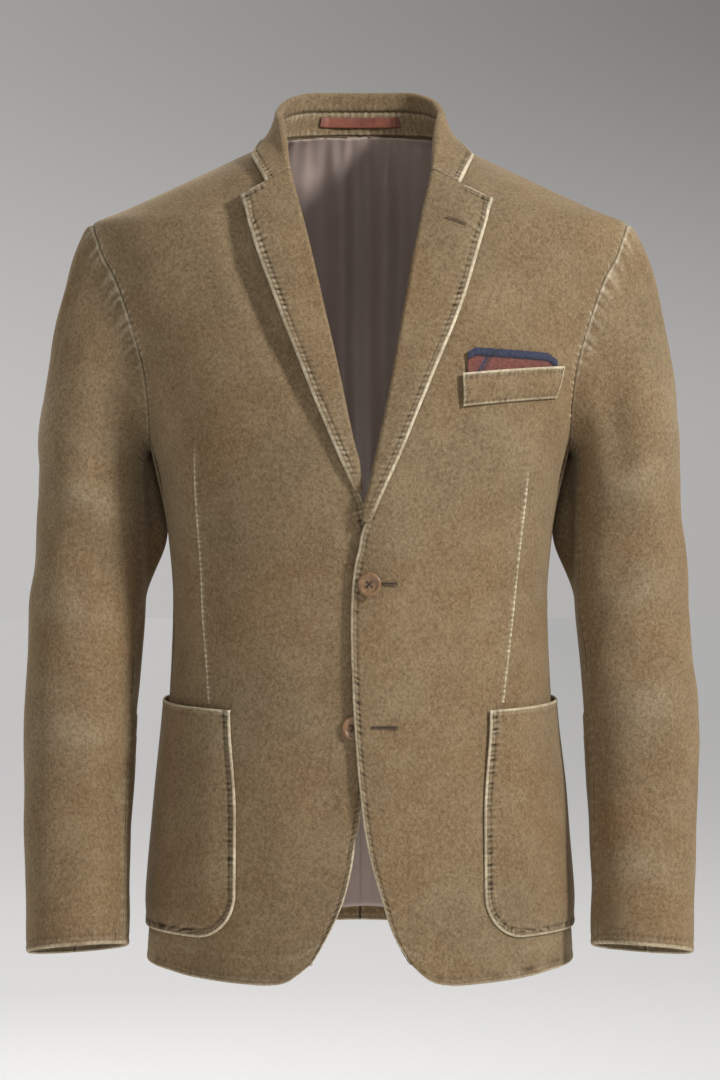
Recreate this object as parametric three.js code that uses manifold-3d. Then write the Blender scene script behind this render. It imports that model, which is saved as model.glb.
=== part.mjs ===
// A two-button blazer, filled out as if worn. Millimetres, +Z up, the front faces -Y and the
// wearer's left is +X. The origin is the nape: the centre back of the neck seam.
import * as THREE from 'three';
import { mergeVertices } from 'three/addons/utils/BufferGeometryUtils.js';
import Module from 'manifold-3d';

// Cloth and seams
const CLOTH = 2;
const LINING = 1;
const LEATHER = 1.4;
const INSERT = 1.2;
const SEAM = 0.15;
const CLEAR = 0.3;

// The trunk: level rings about the shoulder line, which lies 73 mm ahead of the nape
const SHOULDER_Y = -73;
const RING_POWER = 2.3;
const TRUNK = named(['w', 'z', 'halfWidth', 'front', 'back', 'tilt'], [
  [-770, -770, 190, 148, 128, 0],
  [-727, -727, 187, 148, 127, 0],
  [-661, -661, 182.5, 146, 124, 0],
  [-600, -600, 177, 143, 120, 0],
  [-501, -501, 167.5, 138, 107, 0],
  [-419, -419, 164.5, 137, 99, 0],
  [-360, -360, 169, 142, 105, 0],
  [-300, -300, 181, 147, 114, 0],
  [-240, -240, 196, 144, 120, 0],
  [-190, -190, 211, 130, 121, 0],
  [-140, -140, 229, 117, 117.5, 0.02],
  [-118, -114, 240, 111.5, 114, 0.035],
  [-104, -99, 241, 108, 111, 0.045],
  [-93, -89.3, 236, 105.5, 109, 0.05],
  [-60, -75.8, 207, 100, 104, 0.08],
  [-20, -59.4, 171.8, 94, 98, 0.12],
  [20, -43, 136.6, 88, 91, 0.15],
  [60, -26.6, 101.4, 77, 81, 0.18],
  [90, -14.3, 75, 66, 73, 0.196],
]);
const NECK_W = 90;
const SHOULDER_W = -93;
const BREAST = -Math.PI / 2;
const SPINE = Math.PI / 2;

// Steps for slopes and lengths on the trunk, and the bisection's last share of a half width
const SLOPE = { angle: 0.004, height: 1.5, shoulder: 4 };
const SPEED_ANGLE = 0.002;
const LENGTH_PARTS = 40;
const HALVINGS = 40;
const WIDEST = 0.999;

// A path is measured with angles turned to millimetres at about this radius
const REACH = 150;

// Seams of the trunk: the angles of the underarm side body, and the hem
const HEM_W = -727;
const SIDE_SEAMS = named(['w', 'front', 'back'], [
  [-770, -0.2, 0.62],
  [-419, -0.22, 0.62],
  [-330, -0.22, 0.52],
  [-262, -0.22, 0.4],
]);
const HEM = named(['theta', 'w'], [
  [-0.2, -732],
  [0.2, -729],
  [0.62, -723],
  [1.1, -718],
  [SPINE, -716],
]);

// The armhole, measured from its middle height
const ARMHOLE = { w: -189, half: 96, front: 0.47, back: 0.54, topPower: 4, bottomPower: 2.3 };
const ARM_STEPS = 9;
const UNDERARM_STEPS = 4;
const RING_STEPS = 2 * ARM_STEPS + UNDERARM_STEPS;

// Panel rows, as shares of the height: hem to break, break to underarm, to gorge, to neck
const SHARES = { breakPoint: 0.44, underarm: 0.6, gorge: 0.86 };
const ROWS = { lower: 7, chest: 3, gorge: 6, neck: 3 };
const SHOULDER_STEPS = 8;
const NECK_STEPS = 4;
const SIDE_STEPS = 4;
const ARM_FINE = 60;

// Where the underarm line crosses the front's edge and the spine, and the neck's share of the back
const CHEST_Z = -272;
const SPINE_BREAK = -255;
const NECK_SHARE = 0.38;

// The seam from the gorge to the neck point
const NECK_FRONT = named(['theta', 'w'], [
  [-0.75, 72],
  [-0.35, 86],
]);

// Outlines that differ from side to side. x is measured from the centre towards that side.
const SIDES = [
  {
    name: 'left',
    sign: 1,
    proud: 7,
    firstFold: -350,
    edge: named(['z', 'x'], [
      [-718, 41], [-701.5, 30.6], [-684, 23.2], [-663, 17.2], [-644, 11.3], [-621.6, 6.1],
      [-599, 2.4], [-549, -2.7], [-494, -6.2], [-424, -7.5], [-388, -4.7], [-363, 1.2],
    ]),
    roll: named(['z', 'x'], [
      [-363, 1.2], [-338.5, 3.3], [-321.8, 7.4], [-293.9, 13.8], [-232.4, 26.6],
      [-164, 38.7], [-129, 44.9], [-54, 60.4],
    ]),
    lapel: named(['z', 'x'], [
      [-363, 2.3], [-345, 10], [-327, 17.6], [-294, 32.9], [-252, 50],
      [-164.8, 85.7], [-126.7, 97.2], [-78.8, 111.6],
    ]),
    notch: { x: 84.7, z: -62.7 },
    tip: { x: 97.9, z: -37 },
  },
  {
    name: 'right',
    sign: -1,
    proud: 0,
    firstFold: -325,
    edge: named(['z', 'x'], [
      [-719, 39.6], [-702, 29.5], [-682, 19.5], [-664, 12.5], [-639.7, 6.7], [-614.6, 2.8],
      [-603, 0], [-529, -10], [-470, -17], [-402, -21], [-370, -12], [-338.5, -2.9],
    ]),
    roll: named(['z', 'x'], [
      [-338.5, -2.9], [-327, -1.4], [-302.6, 0.9], [-282.6, 6], [-232.4, 16.6],
      [-164.3, 31.9], [-129, 40.1], [-53.7, 59],
    ]),
    lapel: named(['z', 'x'], [
      [-337.4, -2], [-310.6, 10.4], [-278.5, 24.5], [-232.6, 43.6], [-190.4, 60.5],
      [-164.8, 70], [-121.8, 85.9], [-75.4, 100],
    ]),
    notch: { x: 79.3, z: -62 },
    tip: { x: 93.3, z: -37 },
  },
];
const FRONT_HEM = named(['x', 'z'], [
  [52.5, -729.8], [63, -736.5], [78, -739], [100, -738.6], [123.6, -737.4], [147, -735.6],
  [164, -733.5],
]);

// Rows of the front's edge just under the first fold, and how the left front fades into the right
const UNDER_FOLD = { near: 9, far: 22, clear: 12 };
const OVERLAP = { fromX: 12, overX: 62, fromW: -330, overW: 90 };

// How far the fold of a lapel reaches past the panel's edge, and how the lapel lies
const FOLD = { reach: 5.6, shareOfWidth: 0.45, radiusShare: 0.46, leastRadius: 1.3 };
const FOLD_TURNS = 4;
const LAPEL_SHARES = [0.04, 0.11, 0.2, 0.3, 0.41, 0.6, 0.8, 1];
const LAPEL_LIFT = 6.5;
const LAPEL_PUFF = 1.5;
const FULL_WIDTH = 30;
const CLIMB_ROWS = 3;

// The collar, from the centre back towards its front end: the crest of its fold and the share
// of the stand below the seam. Its last section is the top of the lapel, up to the notch.
const COLLAR_FOLD = named(['x', 'y', 'z', 'stand'], [
  [0, -3, 38.3, 0.6],
  [27, -4.5, 38, 0.6],
  [48, -13, 36.5, 0.6],
  [64.5, -36, 27.5, 0.6],
  [71, -64, 14, 0.58],
  [68.5, -92, 2.5, 0.5],
  [65, -124, -19.5, 0.35],
]);
const COLLAR_RADIUS = 2.6;
const COLLAR_PULL = 0.9;
const COLLAR_OVER_BACK = named(['theta', 'w'], [
  [SPINE, 73],
  [1.2, 72.5],
  [0.8, 71],
  [0.4, 69.5],
  [0, 68],
]);
const COLLAR_LIFT = 4.2;
const COLLAR_LAY = 0.2;
const PAST_SPINE = 0.1;
const COLLAR_SHARES = [0.1, 0.3, 0.54, 0.78, 1];

// The sleeve below the armhole, by level rings
const SLEEVE_POWER = 2.2;
const SLEEVE = named(['z', 'outer', 'inner', 'y', 'halfDepth', 'lean', 'slope'], [
  [-300, 277.5, 189, -75, 64, 0, 0],
  [-360, 283.2, 187.5, -73, 62, 0.02, 0],
  [-419, 289, 189.3, -74, 60, 0.09, 0],
  [-480, 292, 194, -84, 57.5, 0.16, 0.01],
  [-540, 293, 197.2, -96, 55, 0.18, 0.03],
  [-600, 291.5, 199.2, -108, 53, 0.18, 0.05],
  [-660, 288.8, 199.6, -120, 51, 0.18, 0.07],
  [-718, 286.5, 200.5, -131, 50, 0.18, 0.08],
]);
const CAP_SHARES = [0, 0.06, 0.14, 0.25, 0.4, 0.58, 0.78];
const CAP = { out: 0.75, over: 0.66, startPull: 0.56, endPull: 1.15 };
const FRONT_SEAM_STEP = 9;
const BACK_SEAM_STEP = 17;

// Pockets
const PATCH = { edgeX: 104, top: -503, bottom: -702, width: 172, corner: 38, puff: 2.6, ease: 24 };
const PATCH_COLUMNS = 10;
const PATCH_ROW_SHARES = [0, 0.03, 0.09, 0.19, 0.4, 0.6, 0.8, 1];
const WELT = { inner: 84.8, outer: 172, topInner: -226.7, topOuter: -217.3, deep: 27.5 };
const WELT_SLANT = { inner: 1.2, outer: -5.6 };
const WELT_SINK = { depth: 1.8, from: 0.4 };
const WELT_STEPS = 6;
const INSERT_SIZE = { inner: 90, outer: 166, top: -204.6, tuck: 5 };
const ON_PANEL = 0.9;

// Lining, loop and buttons
const LINING_COLUMNS = 8;
const LINING_HEM = 13;
const PLEAT = 12;
const TUCK_DEPTH = 1.1;
const LOOP = { halfLength: 37, bottom: 6, top: 15.3 };
const LOOP_SHARES = [-1, -0.72, -0.36, 0, 0.36, 0.72, 1];
const BUTTON = { radius: 10.25, thick: 3.4, hole: 1.1, holeSpread: 2.1 };
const BUTTON_PROFILE = named(['radius', 'height'], [
  [0, 0],
  [9.05, 0],
  [10.25, 1.1],
  [10.05, 2.7],
  [9.15, 3.4],
  [8.05, 3.2],
  [6.65, 2.5],
  [0, 2.5],
]);
const BUTTON_SIDES = 20;
const HOLE_SIDES = 6;
const MERGE = 1e-4;
const BUTTON_TURN = 0.33;
const TOP_BUTTON = { x: 8.3, z: -402 };
const LOWER_BUTTON = { x: 5.1, z: -523.6 };

const CLOTH_LOOK = { color: 0x85745a, roughness: 0.95 };
const LINING_LOOK = { color: 0x6d5f5c, roughness: 0.45 };
const INSERT_LOOK = { color: 0x2c3552, roughness: 0.9 };
const LEATHER_LOOK = { color: 0x9a5443, roughness: 0.6 };
const BUTTON_LOOK = { color: 0xb17a55, roughness: 0.4 };

// Rows of numbers with named columns
function named(columns, rows) {
  return rows.map((row) => Object.fromEntries(columns.map((name, i) => [name, row[i]])));
}

// A smooth curve through two columns of a table, which never overshoots its rows
function curve(table, along, value) {
  const rising = table[0][along] < table[table.length - 1][along];
  const rows = rising ? table : [...table].reverse();
  const at = rows.map((row) => row[along]);
  const y = rows.map((row) => row[value]);
  const rise = y.slice(1).map((next, i) => (next - y[i]) / (at[i + 1] - at[i]));
  const slope = y.map((_, i) => {
    const before = rise[Math.max(i - 1, 0)];
    const after = rise[Math.min(i, rise.length - 1)];
    return before * after <= 0 ? 0 : (2 * before * after) / (before + after);
  });
  return (x) => {
    const inside = Math.min(Math.max(x, at[0]), at[at.length - 1]);
    const found = at.findIndex((end, i) => i > 0 && inside <= end);
    const i = Math.max(found, 1) - 1;
    const width = at[i + 1] - at[i];
    const t = (inside - at[i]) / width;
    const stay = (1 + 2 * t) * (1 - t) * (1 - t);
    const leave = t * (1 - t) * (1 - t) * width;
    const arrive = -t * t * (1 - t) * width;
    return y[i] * stay + slope[i] * leave + y[i + 1] * (1 - stay) + slope[i + 1] * arrive;
  };
}

const ringZ = curve(TRUNK, 'w', 'z');
const ringHalf = curve(TRUNK, 'w', 'halfWidth');
const ringFront = curve(TRUNK, 'w', 'front');
const ringBack = curve(TRUNK, 'w', 'back');
const ringTilt = curve(TRUNK, 'w', 'tilt');
const frontSeam = curve(SIDE_SEAMS, 'w', 'front');
const backSeam = curve(SIDE_SEAMS, 'w', 'back');
const hemHeight = curve(HEM, 'theta', 'w');

function mix(a, b, t) {
  return a + (b - a) * t;
}

function ease(t) {
  const held = Math.min(Math.max(t, 0), 1);
  return held * held * (3 - 2 * held);
}

function steps(count) {
  return Array.from({ length: count + 1 }, (_, i) => i / count);
}

// A unit ring of the given power: cosine and sine that swell towards a rounded box
function swell(angle, power) {
  const c = Math.cos(angle);
  const s = Math.sin(angle);
  const k = (Math.abs(c) ** power + Math.abs(s) ** power) ** (-1 / power);
  return [k * c, k * s];
}

// The trunk's outer face. theta runs round from the wearer's left, w runs up.
function trunk(theta, w) {
  const [across, deep] = swell(theta, RING_POWER);
  const y = deep * (deep < 0 ? ringFront(w) : ringBack(w));
  return new THREE.Vector3(ringHalf(w) * across, SHOULDER_Y + y, ringZ(w) + ringTilt(w) * y);
}

function trunkNormal(theta, w) {
  const { angle, height } = SLOPE;
  const round = trunk(theta + angle, w).sub(trunk(theta - angle, w));
  const upper = w > SHOULDER_W - SLOPE.shoulder;
  const up = trunk(theta, w + height).sub(trunk(theta, upper ? w : w - height));
  return round.cross(up).normalize();
}

function onTrunk(place, out) {
  return trunk(place.theta, place.w).addScaledVector(trunkNormal(place.theta, place.w), out);
}

// The place on the trunk's front that shows at x and z
function onFront(x, z) {
  let low = TRUNK[0].w;
  let high = NECK_W;
  const angle = (w) => {
    const p = Math.min(Math.max(x / ringHalf(w), -WIDEST), WIDEST);
    return Math.atan2(-((1 - Math.abs(p) ** RING_POWER) ** (1 / RING_POWER)), p);
  };
  for (let turn = 0; turn < HALVINGS; turn += 1) {
    const w = (low + high) / 2;
    if (trunk(angle(w), w).z < z) low = w;
    else high = w;
  }
  return { theta: angle(low), w: low };
}

// Places between two places, and a smooth path through several
function between(a, b, t) {
  return { theta: mix(a.theta, b.theta, t), w: mix(a.w, b.w, t) };
}

function path(places) {
  const points = places.map((place) => new THREE.Vector3(place.theta * REACH, place.w, 0));
  const line = new THREE.CatmullRomCurve3(points, false, 'centripetal');
  return (t) => {
    const point = line.getPointAt(t);
    return { theta: point.x / REACH, w: point.y };
  };
}

// A grid of places filled in from its four edges
function fill(left, right, bottom, top, across, up) {
  const corner = [bottom[0], bottom[bottom.length - 1], top[0], top[top.length - 1]];
  return up.map((v, i) => across.map((u, j) => {
    const blend = (key) => mix(bottom[j][key], top[j][key], v) + mix(left[i][key], right[i][key], u)
      - mix(mix(corner[0][key], corner[1][key], u), mix(corner[2][key], corner[3][key], u), v);
    return { theta: blend('theta'), w: blend('w') };
  }));
}

// The length round a ring per unit of angle, the angle at a measured distance from another one,
// and the distance between two angles
function ringSpeed(angle, w) {
  const d = SPEED_ANGLE;
  return trunk(angle + d, w).distanceTo(trunk(angle - d, w)) / (2 * d);
}

function around(theta, w, distance) {
  const part = distance / LENGTH_PARTS;
  let angle = theta;
  for (let i = 0; i < LENGTH_PARTS; i += 1) {
    const half = angle + part / 2 / ringSpeed(angle, w);
    angle += part / ringSpeed(half, w);
  }
  return angle;
}

function ringDistance(from, to, w) {
  const part = (to - from) / LENGTH_PARTS;
  let total = 0;
  for (let i = 0; i < LENGTH_PARTS; i += 1) total += part * ringSpeed(from + part * (i + 0.5), w);
  return total;
}

// The same fill for a whole panel, worked out on the panel laid flat from its centre line
function fillFlat(centre, left, right, bottom, top, across, up) {
  const flat = (row) => row.map((place) => (
    { theta: ringDistance(centre, place.theta, place.w), w: place.w }));
  const edges = [left, right, bottom, top].map(flat);
  return fill(...edges, across, up).map((row, i) => row.map((place, j) => {
    if (j === 0) return left[i];
    if (j === row.length - 1) return right[i];
    if (i === 0) return bottom[j];
    if (i === up.length - 1) return top[j];
    return { theta: around(centre, place.w, place.theta), w: place.w };
  }));
}

// Moves the edges of a grid of points inwards, so that neighbours stay apart at their seam
function inset(grid, edges, gap = SEAM) {
  const last = grid.length - 1;
  const end = grid[0].length - 1;
  const pull = (i, j, towardI, towardJ) => {
    const move = grid[towardI][towardJ].clone().sub(grid[i][j]);
    return grid[i][j].clone().addScaledVector(move.normalize(), gap);
  };
  if (edges.includes('bottom')) grid[0] = grid[0].map((_, j) => pull(0, j, 1, j));
  if (edges.includes('top')) grid[last] = grid[last].map((_, j) => pull(last, j, last - 1, j));
  grid.forEach((row, i) => {
    if (edges.includes('start')) row[0] = pull(i, 0, i, 1);
    if (edges.includes('end')) row[end] = pull(i, end, i, end - 1);
  });
  return grid;
}

// A closed wall between two faces, each a grid of points
function wall(outer, inner) {
  const rows = outer.length;
  const columns = outer[0].length;
  const points = [...outer.flat(), ...inner.flat()];
  const half = rows * columns;
  const at = (i, j, face) => face * half + i * columns + j;
  const faces = [];
  const quad = (a, b, c, d) => faces.push(a, b, c, a, c, d);
  for (let i = 0; i < rows - 1; i += 1) {
    for (let j = 0; j < columns - 1; j += 1) {
      quad(at(i, j, 0), at(i, j + 1, 0), at(i + 1, j + 1, 0), at(i + 1, j, 0));
      quad(at(i, j, 1), at(i + 1, j, 1), at(i + 1, j + 1, 1), at(i, j + 1, 1));
    }
    quad(at(i, 0, 0), at(i + 1, 0, 0), at(i + 1, 0, 1), at(i, 0, 1));
    quad(at(i, columns - 1, 0), at(i, columns - 1, 1), at(i + 1, columns - 1, 1),
      at(i + 1, columns - 1, 0));
  }
  for (let j = 0; j < columns - 1; j += 1) {
    quad(at(0, j, 0), at(0, j, 1), at(0, j + 1, 1), at(0, j + 1, 0));
    quad(at(rows - 1, j, 0), at(rows - 1, j + 1, 0), at(rows - 1, j + 1, 1), at(rows - 1, j, 1));
  }
  if (volume(points, faces) < 0) faces.reverse();
  const geometry = new THREE.BufferGeometry();
  const numbers = points.flatMap((point) => point.toArray());
  geometry.setAttribute('position', new THREE.Float32BufferAttribute(numbers, 3));
  geometry.setIndex(faces);
  return geometry;
}

function volume(points, faces) {
  let total = 0;
  for (let f = 0; f < faces.length; f += 3) {
    const [a, b, c] = [points[faces[f]], points[faces[f + 1]], points[faces[f + 2]]];
    total += a.dot(b.clone().cross(c));
  }
  return total;
}

// A wall about a grid of middle points, thickened along the grid's own normals
function thicken(middle, thick) {
  const rows = middle.length - 1;
  const columns = middle[0].length - 1;
  const shift = (sign) => middle.map((row, i) => row.map((point, j) => {
    const along = middle[i][Math.min(j + 1, columns)].clone().sub(middle[i][Math.max(j - 1, 0)]);
    const up = middle[Math.min(i + 1, rows)][j].clone().sub(middle[Math.max(i - 1, 0)][j]);
    return point.clone().addScaledVector(along.cross(up).normalize(), sign * thick / 2);
  }));
  return wall(shift(1), shift(-1));
}

// A wall on the trunk: places, how far its outer face stands out, its thickness
function cover(places, out, thick, edges) {
  const face = (depth) => inset(places.map((row) => row.map((place) => (
    onTrunk(place, out(place) - depth)))), edges);
  return wall(face(0), face(thick));
}

function mirrored(geometry, sign) {
  if (sign > 0) return geometry;
  geometry.scale(-1, 1, 1);
  geometry.setIndex([...geometry.index.array].reverse());
  return geometry;
}

const blazer = new THREE.Group();

function add(name, geometry, look) {
  const mesh = new THREE.Mesh(geometry, new THREE.MeshStandardMaterial(look));
  mesh.name = name;
  blazer.add(mesh);
}

// Armhole and panel rows

// The armhole's edge: turn 0 is the shoulder point, a positive turn goes round the front
function armhole(turn) {
  const power = Math.abs(turn) < Math.PI / 2 ? ARMHOLE.topPower : ARMHOLE.bottomPower;
  const [up, side] = swell(turn, power);
  const reach = side > 0 ? ARMHOLE.front : ARMHOLE.back;
  return { theta: -side * reach, w: ARMHOLE.w + ARMHOLE.half * up };
}

// The turn at which the armhole meets a side seam
function armholeCorner(theta) {
  const reach = theta < 0 ? ARMHOLE.front : ARMHOLE.back;
  const side = Math.abs(theta) / reach;
  const up = (1 - side ** ARMHOLE.bottomPower) ** (1 / ARMHOLE.bottomPower);
  return -Math.sign(theta) * (Math.PI - Math.atan2(side, up));
}

const FRONT_CORNER = armholeCorner(SIDE_SEAMS.at(-1).front);
const BACK_CORNER = armholeCorner(SIDE_SEAMS.at(-1).back);

// Places along the armhole between two turns, at equal lengths
function armholeRun(from, to, count) {
  const fine = steps(ARM_FINE).map((t) => armhole(mix(from, to, t)));
  return steps(count).map(path(fine));
}

const ARM_FRONT = armholeRun(0, FRONT_CORNER, ARM_STEPS);
const ARM_UNDER = armholeRun(FRONT_CORNER, BACK_CORNER + 2 * Math.PI, UNDERARM_STEPS);
const ARM_BACK = armholeRun(BACK_CORNER, 0, ARM_STEPS);

// Shares of a panel's height, row by row
function rowShares() {
  const knots = [0, SHARES.breakPoint, SHARES.underarm, SHARES.gorge, 1];
  const counts = [ROWS.lower, ROWS.chest, ROWS.gorge, ROWS.neck];
  return counts.flatMap((count, k) => steps(count).slice(k ? 1 : 0)
    .map((t) => mix(knots[k], knots[k + 1], t)));
}

const UP = rowShares();
const LOWER_ROWS = ROWS.lower + ROWS.chest;

// Places up a side seam, from the hem to the armhole
function seamRun(seam, top, firstFold) {
  const bottom = hemHeight(seam(HEM_W));
  return UP.slice(0, LOWER_ROWS + 1).map((v) => {
    const w = v <= SHARES.breakPoint
      ? mix(bottom, firstFold, v / SHARES.breakPoint)
      : mix(firstFold, top, (v - SHARES.breakPoint) / (SHARES.underarm - SHARES.breakPoint));
    return { theta: seam(w), w };
  });
}

// Front panels, turned under along the roll of the lapel

// How a lapel folds at one height: its visible roll, its outer edge and its fold
function foldAt(side, z) {
  const roll = curve(side.roll, 'z', 'x')(z);
  const edge = curve(side.lapel, 'z', 'x')(z);
  const setBack = Math.min(FOLD.reach, FOLD.shareOfWidth * (edge - roll));
  const radius = Math.max(FOLD.leastRadius, FOLD.radiusShare * setBack);
  return { roll, edge, setBack, radius };
}

// Where the seam from the roll to the neck point lies, gorge first
function neckFront(side) {
  const top = side.roll[side.roll.length - 1];
  const gorge = onFront(top.x + FOLD.reach, top.z);
  const line = path([gorge, ...NECK_FRONT, { theta: 0, w: NECK_W }]);
  return steps(ROWS.neck).map(line);
}

// Heights of the rows that the front panel shares with the lapel
function lapelHeights(side) {
  const top = side.roll[side.roll.length - 1].z;
  const chest = steps(ROWS.chest).map((t) => mix(side.firstFold, CHEST_Z, t));
  return [...chest, ...steps(ROWS.gorge).slice(1).map((t) => mix(CHEST_Z, top, t))];
}

function frontEdge(side) {
  const edgeX = curve(side.edge, 'z', 'x');
  const corner = side.edge[0].z;
  const first = foldAt(side, side.firstFold);
  const near = side.firstFold - UNDER_FOLD.near;
  const far = side.firstFold - UNDER_FOLD.far;
  const heights = side.edge.map((row) => row.z).filter((z) => z < far - UNDER_FOLD.clear);
  const places = [...heights, far, near].map((z) => onFront(edgeX(z), z));
  const line = path([...places, onFront(first.roll + first.setBack, side.firstFold)]);
  const lower = steps(ROWS.lower).slice(0, -1).map(line);
  const upper = lapelHeights(side).map((z) => {
    const fold = foldAt(side, z);
    return onFront(fold.roll + fold.setBack, z);
  });
  lower[0] = onFront(edgeX(corner), corner);
  return [...lower, ...upper, ...neckFront(side).slice(1)];
}

function frontPlaces(side) {
  const left = frontEdge(side);
  const right = [...seamRun(frontSeam, ARM_FRONT[ARM_STEPS].w, side.firstFold),
    ...[...ARM_FRONT].reverse().slice(1)];
  const hem = path([left[0], ...FRONT_HEM.map((row) => onFront(row.x, row.z)), right[0]]);
  const shoulder = (t) => ({ theta: 0, w: mix(NECK_W, SHOULDER_W, t) });
  const across = steps(SHOULDER_STEPS);
  return fillFlat(BREAST, left, right, across.map(hem), across.map(shoulder), across, UP);
}

// The left front stands over the right one where they cross
function proud(side, place) {
  const x = trunk(place.theta, place.w).x;
  const inner = 1 - ease((x - OVERLAP.fromX) / OVERLAP.overX);
  const lower = 1 - ease((place.w - OVERLAP.fromW) / OVERLAP.overW);
  return side.proud * inner * lower;
}

function backPlaces() {
  const spine = UP.map((v) => ({ theta: SPINE, w: v <= SHARES.underarm
    ? mix(hemHeight(SPINE), SPINE_BREAK, v / SHARES.underarm)
    : mix(SPINE_BREAK, NECK_W, (v - SHARES.underarm) / (1 - SHARES.underarm)) }));
  const seam = [...seamRun(backSeam, ARM_BACK[0].w, SIDES[0].firstFold), ...ARM_BACK.slice(1)];
  const neck = steps(NECK_STEPS).map((t) => ({ theta: SPINE * (1 - t), w: NECK_W }));
  const shoulder = steps(SHOULDER_STEPS).map((t) => ({ theta: 0, w: mix(NECK_W, SHOULDER_W, t) }));
  const top = [...neck, ...shoulder.slice(1)];
  const across = [...neck.map((_, i) => NECK_SHARE * i / NECK_STEPS),
    ...steps(SHOULDER_STEPS).slice(1).map((t) => mix(NECK_SHARE, 1, t))];
  const hem = across.map((u) => {
    const theta = mix(SPINE, seam[0].theta, u);
    return { theta, w: hemHeight(theta) };
  });
  return fillFlat(SPINE, spine, seam, hem, top, across, UP);
}

function sidePlaces(side) {
  const front = seamRun(frontSeam, ARM_FRONT[ARM_STEPS].w, side.firstFold);
  const back = seamRun(backSeam, ARM_BACK[0].w, SIDES[0].firstFold);
  const across = steps(SIDE_STEPS);
  const hem = across.map((u) => {
    const theta = mix(front[0].theta, back[0].theta, u);
    return { theta, w: hemHeight(theta) };
  });
  const up = UP.slice(0, LOWER_ROWS + 1).map((v) => v / SHARES.underarm);
  return fill(front, back, hem, ARM_UNDER, across, up);
}

// A lapel: from the panel's edge, round the fold and out over the front

function lapelRow(side, z) {
  const fold = foldAt(side, z);
  const start = onFront(fold.roll + fold.setBack, z);
  const edge = onFront(fold.edge, z);
  return { fold, start, edge };
}

function lapelMiddle(side) {
  const heights = lapelHeights(side);
  const rows = heights.map((z) => lapelRow(side, z));
  const top = rows[rows.length - 1];
  const corner = side.lapel[side.lapel.length - 1];
  top.edge = onFront(corner.x, corner.z);
  const rise = corner.z - side.roll[side.roll.length - 1].z;
  rows.forEach((row, i) => {
    const share = ease((i - rows.length + 1 + CLIMB_ROWS) / CLIMB_ROWS);
    if (i === rows.length - 1) return;
    const z = heights[i] + rise * share;
    row.edge = onFront(curve(side.lapel, 'z', 'x')(z), z);
  });
  return rows.map((row) => foldedRow(side, row));
}

function foldedRow(side, row) {
  const { fold, start, edge } = row;
  const base = proud(side, start);
  const normal = trunkNormal(start.theta, start.w);
  const foot = trunk(start.theta, start.w);
  const toward = foot.clone().sub(trunk(edge.theta, edge.w));
  toward.addScaledVector(normal, -toward.dot(normal)).normalize();
  const middle = foot.clone().addScaledVector(normal, base - CLOTH / 2);
  const straight = fold.setBack - fold.radius;
  const centre = middle.clone().addScaledVector(normal, fold.radius)
    .addScaledVector(toward, straight);
  const turned = steps(FOLD_TURNS).map((t) => {
    const angle = mix(-Math.PI / 2, Math.PI / 2, t);
    return centre.clone().addScaledVector(toward, fold.radius * Math.cos(angle))
      .addScaledVector(normal, fold.radius * Math.sin(angle));
  });
  const begin = middle.clone().addScaledVector(toward, CLEAR);
  const width = foot.distanceTo(trunk(edge.theta, edge.w));
  const full = ease(width / FULL_WIDTH);
  const near = 2 * fold.radius - CLOTH / 2;
  const over = LAPEL_SHARES.map((t) => {
    const place = between(start, edge, t);
    const lift = mix(near, mix(near, LAPEL_LIFT, full), t) + LAPEL_PUFF * full * Math.sin(Math.PI * t);
    return onTrunk(place, proud(side, place) + lift);
  });
  return [begin, ...turned, ...over];
}

for (const side of SIDES) {
  const out = (place) => proud(side, place);
  const front = cover(frontPlaces(side), out, CLOTH, ['end', 'top']);
  add(`front_${side.name}`, mirrored(front, side.sign), CLOTH_LOOK);
  const flat = () => 0;
  const back = cover(backPlaces(), flat, CLOTH, ['start', 'end', 'top']);
  add(`back_${side.name}`, mirrored(back, side.sign), CLOTH_LOOK);
  const body = cover(sidePlaces(side), flat, CLOTH, ['start', 'end', 'top']);
  add(`side_${side.name}`, mirrored(body, side.sign), CLOTH_LOOK);
  const lapel = thicken(inset(lapelMiddle(side), ['top'], CLEAR), CLOTH);
  add(`lapel_${side.name}`, mirrored(lapel, side.sign), CLOTH_LOOK);
}

// Sleeves: rings that swing from the armhole down to the cuff

const ARM_RING = [...ARM_FRONT.slice(0, -1), ...ARM_UNDER.slice(0, -1), ...ARM_BACK.slice(0, -1)];

function ringAngles() {
  const points = ARM_RING.map((place) => trunk(place.theta, place.w));
  const lengths = points.map((point, k) => point.distanceTo(points[(k + 1) % points.length]));
  const total = lengths.reduce((sum, length) => sum + length, 0);
  let run = 0;
  return lengths.map((length) => {
    const angle = 2 * Math.PI * run / total;
    run += length;
    return angle;
  });
}

const ARM_ANGLES = ringAngles();

function sleeveRing(row, angle) {
  const [across, ahead] = swell(angle, SLEEVE_POWER);
  const deep = -ahead * row.halfDepth;
  const x = across * (row.outer - row.inner) / 2;
  return new THREE.Vector3(
    (row.outer + row.inner) / 2 + x,
    row.y + deep * Math.cos(row.lean),
    row.z - deep * Math.sin(row.lean) - x * row.slope,
  );
}

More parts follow.
